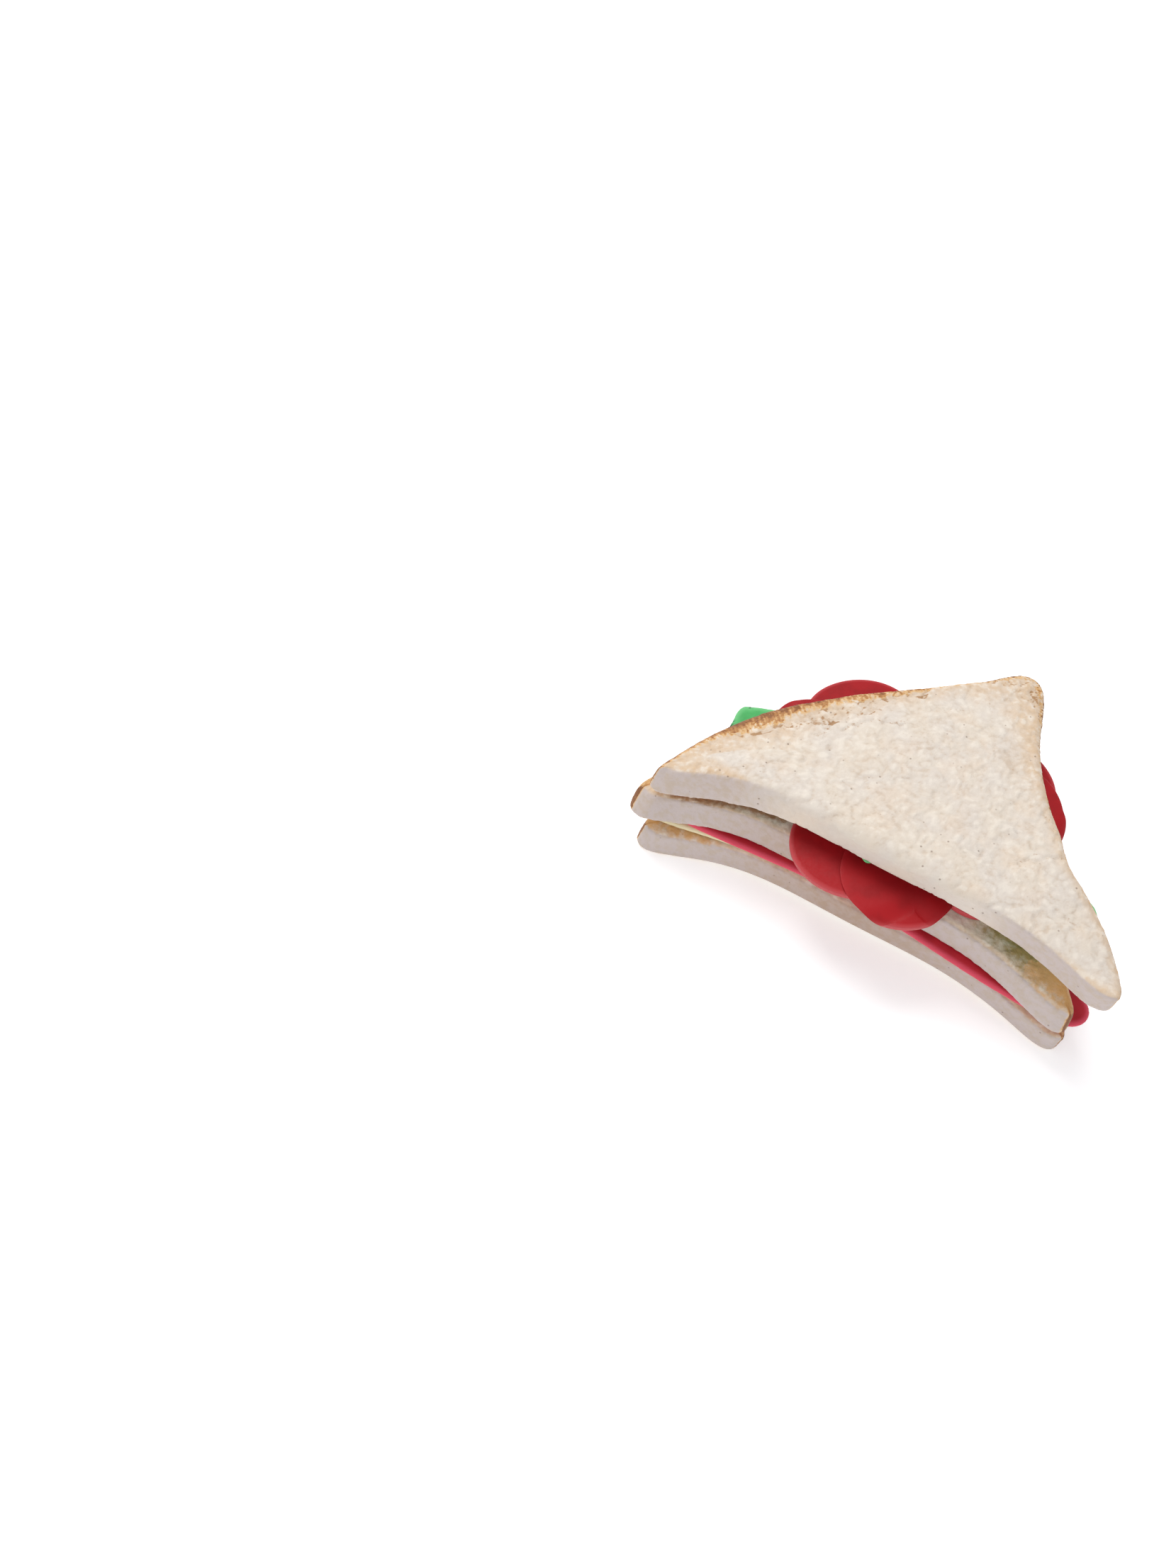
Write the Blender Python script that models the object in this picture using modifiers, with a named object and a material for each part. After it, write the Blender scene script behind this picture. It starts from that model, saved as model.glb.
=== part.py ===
"""Play-food club sandwich half: three foam bread slices with soft vinyl fillings.

The long cut edge of the bread runs along X and faces -Y, and the loaf's upper
corner points to +Y.  Everything is worked out in one flat plan, and each layer is
then lifted to its own level and bent over the same low arch, so that the layers
lie on one another with a hair of air between them.
"""
import math

import bmesh
import bpy
from mathutils import Matrix, Vector, noise

MM = 0.001  # one millimetre in metres

PLAN_STEP = 4.2  # millimetres between points of a plan's long sides
CORNER_STEPS = 4  # and steps round each of its corners
PLAN_EASING = 2  # smoothing passes over a plan

# --- bread: half of a tin-loaf slice, cut corner to corner ------------------------
SLICE_THICKNESS = 11.4 * MM
SLICE_RIM_RADIUS = 3.2 * MM
SLICE_RIM_STEPS = 1  # steps in the curve's own count round the rim
SLICE_NET = 5.4 * MM  # spacing of the net on the slice's faces
LINE_SNAP = 0.3 * MM  # a line of a net passes through points as near as this
WELD = 0.01 * MM
FLAT = 0.999  # a normal's Z on the flat faces of the slice
UNDERSIDE = -0.3  # and on the rim's lower half
# A plan is a triangle of three round corners: left tip, loaf's upper corner (the ear)
# and right tip, each with x, y and radius in millimetres.  Its sides swell out of line
# by the given millimetres, as one, two, three and more half waves from corner to corner.
SLICE_CORNERS = ((-74.0, -34.6, 6.5), (16.0, 56.3, 10.0), (78.9, -36.0, 5.1))
SLICE_CROWN = (5.9, 2.9, 0.3, 0.5)  # domed, from the left tip up to the ear
SLICE_SIDE = (-9.4, -2.3, 0.4)  # waisted, from the ear down to the right tip
SLICE_CUT = (-11.9, 0.7, -2.0)  # hollow, along the cut edge back to the left tip
CRUMB_RELIEF = 1.0 * MM  # deepest hollow in a pebbly face
CRUMB_SIZE = 8.5 * MM  # spacing of the pebbles
SIDE_RELIEF_SHARE = 0.35  # the walls are this much calmer than the faces
# The cut wall leans back: its upper edge lies behind its lower one by the first number of
# millimetres at the left tip and the second one at the right tip.
TOP_LEAN = (5.1, 1.0)
MIDDLE_LEAN = (4.6, 2.5)
BOTTOM_LEAN = (2.5, 1.0)
# The tips were pressed out of shape: x and y in millimetres for the lower and the upper
# end of the left tip, and of the right one.
TOP_TIPS = (((-1.9, 0.2), (0.6, 0.0)), ((-0.6, -0.3), (-0.6, -0.3)))
MIDDLE_TIPS = (((-0.9, -1.6), (1.4, 0.8)), ((1.4, -1.6), (0.0, 0.0)))
BOTTOM_TIPS = (((0.0, 0.0), (2.5, 1.5)), ((-0.4, 0.5), (-0.4, 0.5)))
TIP_FROM = 48.0 * MM  # a tip starts this far from the slice's middle
TIP_TO = 78.0 * MM  # and is in full here
LEAN_FROM = 30.0 * MM  # the lean grows from here
LEAN_TO = -80.0 * MM  # to here
LEAN_REACH = 25.0 * MM  # the face behind the wall gives way over this length
LEAN_MARGIN = 6.0 * MM  # and the crust stays, with this margin

# --- the stack: level of each layer's underside at the three corners ---------------
AIR = 0.35 * MM  # gap between layers that lie on one another
SHEET_THICKNESS = 2.4 * MM  # ham and cheese
TOMATO_THICKNESS = 3.1 * MM
LETTUCE_THICKNESS = 0.9 * MM
FILLING_ROOM = 8.7 * MM  # between the middle and the top slice
CHEESE_LEVEL = SLICE_THICKNESS + AIR
HAM_LEVEL = CHEESE_LEVEL + SHEET_THICKNESS + AIR
MIDDLE_LEVEL = HAM_LEVEL + SHEET_THICKNESS + AIR
TOMATO_LEVEL = MIDDLE_LEVEL + SLICE_THICKNESS + AIR
TOP_LEVEL = MIDDLE_LEVEL + SLICE_THICKNESS + FILLING_ROOM

# --- the arch that the whole stack is bent over --------------------------------------
ARCH_HEIGHT = 4.5 * MM
ARCH_RADIUS_X = 88.0 * MM
ARCH_RADIUS_Y = 58.0 * MM

# --- how far each layer slid out of line: x, y in millimetres, turn in degrees -------
TOP_SLIP = (-0.5, 0.9, 0.0)
MIDDLE_SLIP = (-8.3, -1.0, -0.2)
BOTTOM_SLIP = (-5.3, -2.6, 0.95)
TIP_SAG = 4.6 * MM  # the top slice's left tip hangs down towards the middle slice
TIP_SAG_FROM = -42.0 * MM
TIP_SAG_TO = -84.0 * MM
SAG_BACK = Vector((-0.18, 0.30, 0.0))  # and moves by this share of its sag

# --- fillings -----------------------------------------------------------------------
HAM_CORNERS = ((-67.0, -29.5, 4.0), (5.5, 47.3, 8.0), (75.0, -29.7, 7.6))
HAM_SIDES = ((4.0, 0.7), (-15.4, 2.2), (-2.2, 0.9, 0.7))
CHEESE_CORNERS = ((-80.0, -34.0, 2.0), (4.3, 46.3, 6.4), (62.6, -29.2, 5.0))
CHEESE_SIDES = ((5.3, 0.9), (-8.8, 0.8), (-4.8, 0.0))
SHEET_SPACING = 9.0 * MM  # net of the bent sheets
# Tomato slices: centre x and y and radius in millimetres, and the slices each lies on.
TOMATO_SLICES = {
    "tomato_front_left": (-11.4, -21.1, 20.2, ()),
    "tomato_front_right": (29.5, -10.0, 16.0, ()),
    "tomato_crown": (-27.8, 27.0, 21.0, ()),
    "tomato_ear": (23.2, 28.9, 19.0, ()),
    "tomato_front_middle": (7.3, -24.0, 19.5, ("tomato_front_left", "tomato_front_right")),
    "tomato_side": (27.4, 15.2, 21.5, ("tomato_ear", "tomato_front_right")),
    "tomato_back_left": (-39.4, 9.7, 17.1, ("tomato_crown",)),
}
TOMATO_LOBE = 0.025  # how far out of round, as a share of the radius
TOMATO_HOLD = 3.5 * MM  # a slice stays up this far past the rim under it
TOMATO_DRAPE = 7.0 * MM  # and sags over this length after that
TOMATO_POINTS = 32
TOMATO_SPACING = 6.0 * MM
LETTUCE_CORNERS = ((-60.0, -15.0, 6.0), (13.0, 49.0, 7.0), (62.0, -21.0, 7.0))
LETTUCE_SIDES = ((2.0, 3.0), (-8.0, -1.0), (-4.0, 0.0))
# Lobes that hang out of the bread: x, y, push and breadth in millimetres.
LETTUCE_LOBES = ((-59.0, 3.4, 17.7, 12.4), (63.8, -7.6, 14.2, 7.1), (-3.2, -23.5, 8.7, 8.2))
LETTUCE_STEP = 2.8  # millimetres between points of the leaf's plan
LOBE_CALM = 20.0 * MM  # the ruffles flatten out within this distance of a lobe
LOBE_CALM_SHARE = 0.8  # by this share
SCALLOP_DEPTH = 0.9 * MM
SCALLOP_LENGTH = 12.0 * MM
LETTUCE_SPACING = 6.0 * MM
# The leaf's ruffles: waves along X that bend with Y, crossed by slanting waves.
RUFFLE_LENGTH = 13.0 * MM
RUFFLE_LIMIT = 3.0 * MM
RUFFLE_BEND = 2.2
RUFFLE_BEND_LENGTH = 41.0 * MM
CROSS_LENGTH = 22.0 * MM
CROSS_SLANT = 0.35

# Middle of the finished stack's outline, which becomes X = Y = 0.
STACK_MIDDLE = Vector((-2.45 * MM, 10.8 * MM, 0.0))

COLLECTION_NAME = "club_sandwich_half"


def clear_scene():
    """Remove every object, mesh and curve."""
    for item in list(bpy.data.objects):
        bpy.data.objects.remove(item, do_unlink=True)
    for item in list(bpy.data.meshes):
        bpy.data.meshes.remove(item)
    for item in list(bpy.data.curves):
        bpy.data.curves.remove(item)


def material(name, colour, roughness):
    """Principled material in a linear RGB colour."""
    result = bpy.data.materials.new(name)
    result.use_nodes = True
    shader = result.node_tree.nodes["Principled BSDF"]
    shader.inputs["Base Color"].default_value = (*colour, 1.0)
    shader.inputs["Roughness"].default_value = roughness
    shader.inputs["Metallic"].default_value = 0.0
    return result


def smooth_step(value):
    """Ease from 0 to 1 as the value goes from 0 to 1."""
    value = min(max(value, 0.0), 1.0)
    return value * value * (3.0 - 2.0 * value)


def outward(start, end, middle):
    """Unit normal of a line in the plan, on the side away from a middle point."""
    way = (end - start).normalized()
    normal = Vector((-way.y, way.x))
    return normal if normal.dot((start + end) / 2 - middle) > 0.0 else -normal


def round_triangle(corners, sides, spacing=PLAN_STEP):
    """Closed plan in metres, from three round corners and three swelling sides."""
    centres = [Vector(corner[:2]) for corner in corners]
    radii = [corner[2] for corner in corners]
    middle = (centres[0] + centres[1] + centres[2]) / 3
    loop = []
    for index, side in enumerate(sides):
        start, end = centres[index], centres[(index + 1) % 3]
        before = outward(centres[index - 1], start, middle)
        normal = outward(start, end, middle)
        turn = before.angle_signed(normal)
        for step in range(1, CORNER_STEPS):
            spoke = before.copy()
            spoke.rotate(Matrix.Rotation(-turn * step / CORNER_STEPS, 2))
            loop.append(start + spoke * radii[index])
        steps = int((end - start).length / spacing)
        for step in range(steps + 1):
            share = step / steps
            reach = radii[index] + (radii[(index + 1) % 3] - radii[index]) * share
            for waves, height in enumerate(side, start=1):
                reach += height * math.sin(waves * math.pi * share)
            loop.append(start.lerp(end, share) + normal * reach)
    for _ in range(PLAN_EASING):
        loop = [(loop[index - 1] + 2 * spot + loop[(index + 1) % len(loop)]) / 4
                for index, spot in enumerate(loop)]
    return [spot * MM for spot in loop]


def arch(x, y):
    """Height of the stack's low arch: full in the middle, nothing at the corners."""
    reach = (x / ARCH_RADIUS_X) ** 2 + (y / ARCH_RADIUS_Y) ** 2
    return ARCH_HEIGHT * max(0.0, 1.0 - reach)


def tip_sag(x):
    """How far the top slice hangs down towards its left tip."""
    return TIP_SAG * smooth_step((x - TIP_SAG_FROM) / (TIP_SAG_TO - TIP_SAG_FROM))


def add_object(name, mesh, finish, collection):
    """Object at the stack's middle, with its mesh, its material and smooth shading."""
    result = bpy.data.objects.new(name, mesh)
    mesh.materials.clear()
    mesh.materials.append(finish)
    mesh.transform(Matrix.Translation(-STACK_MIDDLE))
    mesh.shade_smooth()
    collection.objects.link(result)
    return result


def cross_with_lines(net, spacing, flat_only):
    """Cut a net's faces, or its flat ones alone, along lines in X and Y, into triangles."""
    for axis in (0, 1):
        low = min(vertex.co[axis] for vertex in net.verts)
        high = max(vertex.co[axis] for vertex in net.verts)
        lines = int((high - low) / spacing)
        first = (low + high) / 2 - spacing * (lines - 1) / 2
        across = Vector((1.0, 0.0, 0.0)) if axis == 0 else Vector((0.0, 1.0, 0.0))
        for line in range(lines):
            faces = [face for face in net.faces if not flat_only or abs(face.normal.z) > FLAT]
            edges = list({edge for face in faces for edge in face.edges})
            points = list({vertex for face in faces for vertex in face.verts})
            bmesh.ops.bisect_plane(net, geom=points + edges + faces, dist=LINE_SNAP,
                                   plane_co=across * (first + line * spacing), plane_no=across)
    bmesh.ops.triangulate(net, faces=net.faces[:])


# --- bread ----------------------------------------------------------------------------
def evaluated_mesh(source):
    """Mesh of an object with its modifiers, after which the object is removed."""
    graph = bpy.context.evaluated_depsgraph_get()
    mesh = bpy.data.meshes.new_from_object(source.evaluated_get(graph))
    bpy.data.objects.remove(source, do_unlink=True)
    return mesh


def flat_slice():
    """Round-edged slab of the slice's plan, centred on z = 0, with an even net on its faces."""
    outline = bpy.data.curves.new("slice_outline", "CURVE")
    outline.dimensions = "2D"
    outline.fill_mode = "BOTH"
    outline.bevel_depth = SLICE_RIM_RADIUS
    outline.bevel_resolution = SLICE_RIM_STEPS
    outline.offset = -SLICE_RIM_RADIUS
    outline.extrude = SLICE_THICKNESS / 2 - SLICE_RIM_RADIUS
    loop = round_triangle(SLICE_CORNERS, (SLICE_CROWN, SLICE_SIDE, SLICE_CUT))
    spline = outline.splines.new("POLY")
    spline.points.add(len(loop) - 1)
    spline.use_cyclic_u = True
    for point, spot in zip(spline.points, loop):
        point.co = (spot.x, spot.y, 0.0, 1.0)
    slab = bpy.data.objects.new("slice_outline", outline)
    bpy.context.scene.collection.objects.link(slab)
    mesh = evaluated_mesh(slab)

    net = bmesh.new()
    net.from_mesh(mesh)
    bmesh.ops.remove_doubles(net, verts=net.verts, dist=WELD)
    inner = [edge for edge in net.edges
             if all(abs(face.normal.z) > FLAT for face in edge.link_faces)]
    bmesh.ops.dissolve_edges(net, edges=inner)
    cross_with_lines(net, SLICE_NET, flat_only=True)
    bmesh.ops.recalc_face_normals(net, faces=net.faces[:])
    net.to_mesh(mesh)
    net.free()
    return mesh


def nearest(spot, points):
    """Distance in the plan from a point to the nearest one of several."""
    return min(math.hypot(spot.x - point.x, spot.y - point.y) for point in points)


def lean_shares(mesh):
    """How far each point of the flat slice follows the cut wall's upper edge, from 0 to 1."""
    loop = round_triangle(SLICE_CORNERS, (SLICE_CROWN, SLICE_SIDE, SLICE_CUT))
    left = min(range(len(loop)), key=lambda index: loop[index].x)
    right = max(range(len(loop)), key=lambda index: loop[index].x)
    crust, cut = loop[left:right + 1], loop[right + 1:] + loop[:left]
    return [smooth_step(nearest(vertex.co, crust) / LEAN_MARGIN)
            * smooth_step(1.0 - nearest(vertex.co, cut) / LEAN_REACH)
            for vertex in mesh.vertices]


def tip_shift(tips, spot, height):
    """Shift of a point near one of the tips; height goes from 0 below to 1 above."""
    low, high = tips[0] if spot.x < 0.0 else tips[1]
    share = smooth_step((abs(spot.x) - TIP_FROM) / (TIP_TO - TIP_FROM))
    return Vector((*low, 0.0)).lerp(Vector((*high, 0.0)), height) * MM * share


def bread_slice(name, level, slip, lean, tips, seed, finish, collection,
                smooth_below=False, sagging=False):
    """Bend a copy of the flat slice over the arch, with pebbles sunk into its faces."""
    mesh = FLAT_SLICE.copy()
    turn = Matrix.Rotation(math.radians(slip[2]), 3, "Z")
    slide = Vector((slip[0] * MM, slip[1] * MM, 0.0))
    normals = [vertex.normal.copy() for vertex in mesh.vertices]
    for vertex, normal in zip(mesh.vertices, normals):
        spot = vertex.co.copy()
        pebble = 0.5 + 0.5 * noise.noise(spot / CRUMB_SIZE + Vector((seed, 0.0, 0.0)))
        share = SIDE_RELIEF_SHARE + (1.0 - SIDE_RELIEF_SHARE) * abs(normal.z)
        if smooth_below and normal.z < UNDERSIDE:
            share = 0.0
        spot -= normal * CRUMB_RELIEF * pebble * share
        height = 0.5 + spot.z / SLICE_THICKNESS
        leaning = smooth_step((spot.x - LEAN_FROM) / (LEAN_TO - LEAN_FROM))
        leaning = (lean[1] + (lean[0] - lean[1]) * leaning) * LEAN_SHARES[vertex.index]
        shift = tip_shift(tips, spot, height)
        spot += shift + Vector((0.0, leaning * height * MM, 0.0))
        spot = turn @ spot + slide
        spot.z += level + SLICE_THICKNESS / 2 + arch(spot.x, spot.y)
        if sagging:
            sag = tip_sag(spot.x)
            spot += SAG_BACK * sag
            spot.z -= sag
        vertex.co = spot
    return add_object(name, mesh, finish, collection)


# --- sheets -----------------------------------------------------------------------------
def flat_sheet(loop, spacing):
    """Flat plate of triangles inside a closed loop, crossed by lines at a spacing."""
    net = bmesh.new()
    net.faces.new([net.verts.new((spot.x, spot.y, 0.0)) for spot in loop])
    cross_with_lines(net, spacing, flat_only=False)
    bmesh.ops.recalc_face_normals(net, faces=net.faces[:])
    if net.faces[:][0].normal.z < 0.0:
        bmesh.ops.reverse_faces(net, faces=net.faces[:])
    return net


def sheet(name, loop, spacing, thickness, height_at, finish, collection):
    """Thin solid on a flat plate whose points are lifted to height_at(x, y)."""
    net = flat_sheet(loop, spacing)
    for vertex in net.verts:
        vertex.co.z = height_at(vertex.co.x, vertex.co.y)
    mesh = bpy.data.meshes.new(name)
    net.to_mesh(mesh)
    net.free()
    result = add_object(name, mesh, finish, collection)
    wall = result.modifiers.new("thickness", "SOLIDIFY")
    wall.thickness = thickness
    wall.offset = 1.0
    return result


# --- tomato -------------------------------------------------------------------------------
def past_rim(name, x, y):
    """Distance from a point of the plan to a tomato slice's rim, negative inside it."""
    centre_x, centre_y, radius, _ = TOMATO_SLICES[name]
    reach = radius * MM * (1.0 + TOMATO_LOBE)
    return math.hypot(x - centre_x * MM, y - centre_y * MM) - reach


def slice_lift(name, x, y):
    """Height of a tomato slice over the middle bread, where it lies on other slices."""
    lift = 0.0
    for below in TOMATO_SLICES[name][3]:
        hold = 1.0 - smooth_step((past_rim(below, x, y) - TOMATO_HOLD) / TOMATO_DRAPE)
        lift = max(lift, (TOMATO_THICKNESS + AIR) * hold)
    return lift


def tomato_top(x, y):
    """Highest point of the tomato layer over its own level near a point of the plan."""
    steps = (-LETTUCE_SPACING, 0.0, LETTUCE_SPACING)
    top = 0.0
    for name in TOMATO_SLICES:
        for spot_x, spot_y in ((x + step_x, y + step_y) for step_x in steps for step_y in steps):
            if past_rim(name, spot_x, spot_y) < 0.0:
                top = max(top, slice_lift(name, spot_x, spot_y) + TOMATO_THICKNESS)
    return top


def tomato_slice(name, finish, collection):
    """Lobed disc that lies on the bread and drapes over the slices under it."""
    centre_x, centre_y, radius, _ = TOMATO_SLICES[name]
    loop = []
    for step in range(TOMATO_POINTS):
        angle = math.tau * step / TOMATO_POINTS
        reach = radius * (1.0 + TOMATO_LOBE * math.cos(3.0 * angle + radius))
        loop.append(Vector((centre_x + reach * math.cos(angle),
                            centre_y + reach * math.sin(angle))) * MM)
    return sheet(name, loop, TOMATO_SPACING, TOMATO_THICKNESS,
                 lambda x, y: TOMATO_LEVEL + slice_lift(name, x, y) + arch(x, y),
                 finish, collection)


# --- lettuce --------------------------------------------------------------------------------
def lettuce_plan():
    """Scalloped triangle with lobes, in metres."""
    loop = round_triangle(LETTUCE_CORNERS, LETTUCE_SIDES, LETTUCE_STEP)
    count = len(loop)
    lengths = [(loop[index] - loop[index - 1]).length for index in range(count)]
    scallops = round(sum(lengths) / SCALLOP_LENGTH)
    middle = sum(loop, Vector((0.0, 0.0))) / count
    gone = 0.0
    plan = []
    for index, spot in enumerate(loop):
        gone += lengths[index] / sum(lengths)
        push = SCALLOP_DEPTH * math.sin(math.tau * scallops * gone)
        for x, y, height, breadth in LETTUCE_LOBES:
            away = (spot - Vector((x, y)) * MM).length / (breadth * MM)
            push += height * MM * math.exp(-away * away)
        normal = outward(loop[index - 1], loop[(index + 1) % count], middle)
        plan.append(spot + normal * push)
    return plan


def lettuce_height(x, y):
    """Underside of the leaf: it hugs the top slice, with ruffles in the room below it."""
    highest = TOP_LEVEL - tip_sag(x) - AIR - LETTUCE_THICKNESS
    room = highest - (TOMATO_LEVEL + tomato_top(x, y) + AIR)
    depth = min(RUFFLE_LIMIT, max(0.0, room))
    bend = RUFFLE_BEND * math.sin(math.tau * y / RUFFLE_BEND_LENGTH)
    wave = math.sin(math.tau * x / RUFFLE_LENGTH + bend)
    wave *= math.cos(math.tau * (y + CROSS_SLANT * x) / CROSS_LENGTH)
    for lobe_x, lobe_y, _, _ in LETTUCE_LOBES:
        away = math.hypot(x - lobe_x * MM, y - lobe_y * MM) / LOBE_CALM
        wave *= 1.0 - LOBE_CALM_SHARE * math.exp(-away * away)
    return highest - depth * (0.5 - 0.5 * wave) + arch(x, y)


clear_scene()
SANDWICH = bpy.data.collections.new(COLLECTION_NAME)
bpy.context.scene.collection.children.link(SANDWICH)

BREAD = material("painted_foam_crumb", (0.80, 0.70, 0.57), 0.85)
LETTUCE = material("green_vinyl_leaf", (0.12, 0.50, 0.16), 0.55)
TOMATO = material("red_vinyl_tomato", (0.42, 0.02, 0.03), 0.45)
HAM = material("pink_red_vinyl_ham", (0.50, 0.04, 0.07), 0.5)
CHEESE = material("pale_vinyl_cheese", (0.76, 0.65, 0.40), 0.5)

FLAT_SLICE = flat_slice()
LEAN_SHARES = lean_shares(FLAT_SLICE)
bread_slice("bread_bottom", 0.0, BOTTOM_SLIP, BOTTOM_LEAN, BOTTOM_TIPS, 3.1,
            BREAD, SANDWICH, smooth_below=True)
bread_slice("bread_middle", MIDDLE_LEVEL, MIDDLE_SLIP, MIDDLE_LEAN, MIDDLE_TIPS, 11.7,
            BREAD, SANDWICH)
bread_slice("bread_top", TOP_LEVEL, TOP_SLIP, TOP_LEAN, TOP_TIPS, 20.3,
            BREAD, SANDWICH, sagging=True)
sheet("cheese", round_triangle(CHEESE_CORNERS, CHEESE_SIDES), SHEET_SPACING, SHEET_THICKNESS,
      lambda x, y: CHEESE_LEVEL + arch(x, y), CHEESE, SANDWICH)
sheet("ham", round_triangle(HAM_CORNERS, HAM_SIDES), SHEET_SPACING, SHEET_THICKNESS,
      lambda x, y: HAM_LEVEL + arch(x, y), HAM, SANDWICH)
for TOMATO_NAME in TOMATO_SLICES:
    tomato_slice(TOMATO_NAME, TOMATO, SANDWICH)
sheet("lettuce", lettuce_plan(), LETTUCE_SPACING,
      LETTUCE_THICKNESS, lettuce_height, LETTUCE, SANDWICH)
bpy.data.meshes.remove(FLAT_SLICE)
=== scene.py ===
"""Looks of a play-food club sandwich half: painted foam bread with soft vinyl fillings.

The long cut edge of the bread runs along X and faces -Y, and the loaf's upper corner
points to +Y.  Every layer starts as a flat slab of its plan, gets its relief there, and
is then lifted to its level and bent over the low arch that the whole stack shares.
Plans are in millimetres and meshes in metres.
"""

import logging
import math
from collections.abc import Callable
from dataclasses import dataclass
from enum import Enum

import bpy
import numpy as np
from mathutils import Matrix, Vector, kdtree, noise


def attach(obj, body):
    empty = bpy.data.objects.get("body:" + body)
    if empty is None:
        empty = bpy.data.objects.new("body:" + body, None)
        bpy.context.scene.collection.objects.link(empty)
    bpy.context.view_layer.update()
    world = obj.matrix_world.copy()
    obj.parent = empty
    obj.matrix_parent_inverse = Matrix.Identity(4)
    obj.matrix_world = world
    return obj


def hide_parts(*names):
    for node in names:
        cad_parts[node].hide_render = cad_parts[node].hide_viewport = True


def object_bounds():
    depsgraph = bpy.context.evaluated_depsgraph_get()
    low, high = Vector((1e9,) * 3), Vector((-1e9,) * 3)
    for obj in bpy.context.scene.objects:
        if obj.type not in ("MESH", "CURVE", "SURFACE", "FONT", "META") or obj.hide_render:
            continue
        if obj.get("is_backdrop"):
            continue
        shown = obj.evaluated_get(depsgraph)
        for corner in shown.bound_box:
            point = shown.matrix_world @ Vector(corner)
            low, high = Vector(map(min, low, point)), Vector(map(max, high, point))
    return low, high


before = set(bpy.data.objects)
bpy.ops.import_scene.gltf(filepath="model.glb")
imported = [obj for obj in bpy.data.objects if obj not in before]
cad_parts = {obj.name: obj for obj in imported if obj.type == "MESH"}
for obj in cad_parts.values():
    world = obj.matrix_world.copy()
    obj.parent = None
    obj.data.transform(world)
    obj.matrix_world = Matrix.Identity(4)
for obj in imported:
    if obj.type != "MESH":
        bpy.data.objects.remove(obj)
CAD_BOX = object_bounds()

MM = 0.001
BODY = "root"
NOISE_SEED = 5  # the noise that pulls the skin's flakes about starts at random otherwise
STACK_MIDDLE = np.array((-2.45, 10.8))  # plan point that is X = Y = 0 of the object, mm

log = logging.getLogger("club_sandwich")

Rows = np.ndarray
Socket = bpy.types.NodeSocket
Height = Callable[[np.ndarray, np.ndarray], np.ndarray]


# --- small tools ----------------------------------------------------------------------
def eased(value: np.ndarray | float) -> np.ndarray:
    """Ease from 0 to 1 as the value goes from 0 to 1."""
    value = np.clip(value, 0.0, 1.0)
    return value * value * (3.0 - 2.0 * value)


def through(value: np.ndarray, start: float, full: float) -> np.ndarray:
    """Ease from 0 to 1 as the value goes from the start of a range to its end."""
    return eased((value - start) / (full - start))


def linear(hex_colour: str) -> tuple[float, float, float, float]:
    """Turn an sRGB hex colour into the linear one that a shader takes.

    Args:
        hex_colour: Colour such as "#EADCC9".

    Returns:
        Linear red, green and blue, and an alpha of 1.
    """
    parts = [int(hex_colour[start:start + 2], 16) / 255 for start in (1, 3, 5)]
    red, green, blue = (part / 12.92 if part <= 0.04045 else ((part + 0.055) / 1.055) ** 2.4
                        for part in parts)
    return red, green, blue, 1.0


def select_only(piece: bpy.types.Object) -> None:
    """Select one object, make it the active one, and leave all others unselected."""
    bpy.ops.object.select_all(action="DESELECT")
    piece.select_set(True)
    bpy.context.view_layer.objects.active = piece


def apply_modifier(piece: bpy.types.Object, kind: str, **settings: object) -> None:
    """Add a modifier to a piece and apply it.

    Args:
        piece: Object that gets the modifier.
        kind: Blender's name of the modifier's type.
        **settings: Its properties.
    """
    select_only(piece)
    modifier = piece.modifiers.new(kind.lower(), kind)
    for name, value in settings.items():
        setattr(modifier, name, value)
    bpy.ops.object.modifier_apply(modifier=modifier.name)


def vertex_rows(mesh: bpy.types.Mesh, what: str = "co") -> Rows:
    """Read the places or normals of a mesh's vertices.

    Args:
        mesh: Mesh to read.
        what: "co" for places or "normal" for normals.

    Returns:
        One row of x, y and z for each vertex.
    """
    rows = np.empty(len(mesh.vertices) * 3, np.float32)
    mesh.vertices.foreach_get(what, rows)
    return rows.reshape(-1, 3).astype(float)


def place_vertices(mesh: bpy.types.Mesh, rows: Rows) -> None:
    """Move a mesh's vertices to the given rows of x, y and z."""
    mesh.vertices.foreach_set("co", rows.astype(np.float32).ravel())
    mesh.update()


def store(mesh: bpy.types.Mesh, name: str, values: np.ndarray) -> None:
    """Keep an attribute for the materials.

    Args:
        mesh: Mesh that gets it.
        name: Its name.
        values: A number, or a row of three, for each vertex.
    """
    kind, field = ("FLOAT", "value") if values.ndim == 1 else ("FLOAT_VECTOR", "vector")
    attribute = mesh.attributes.new(name, kind, "POINT")
    attribute.data.foreach_set(field, values.astype(np.float32).ravel())


# --- plans ----------------------------------------------------------------------------
def refined(rows: Rows, parts: int) -> Rows:
    """Put new rows between those of a closed loop, on a smooth curve through all of them.

    Args:
        rows: One row for each point of the loop.
        parts: How many parts each stretch between two points is cut into.

    Returns:
        Rows with the new ones in place.
    """
    before, after, beyond = (np.roll(rows, shift, 0) for shift in (1, -1, -2))
    made = []
    for part in range(parts):
        t = part / parts
        made.append(rows + (after - before) * t / 2
                    + (2 * before - 5 * rows + 4 * after - beyond) * t ** 2 / 2
                    + (3 * rows - before - 3 * after + beyond) * t ** 3 / 2)
    return np.stack(made, 1).reshape(-1, rows.shape[1])


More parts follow.
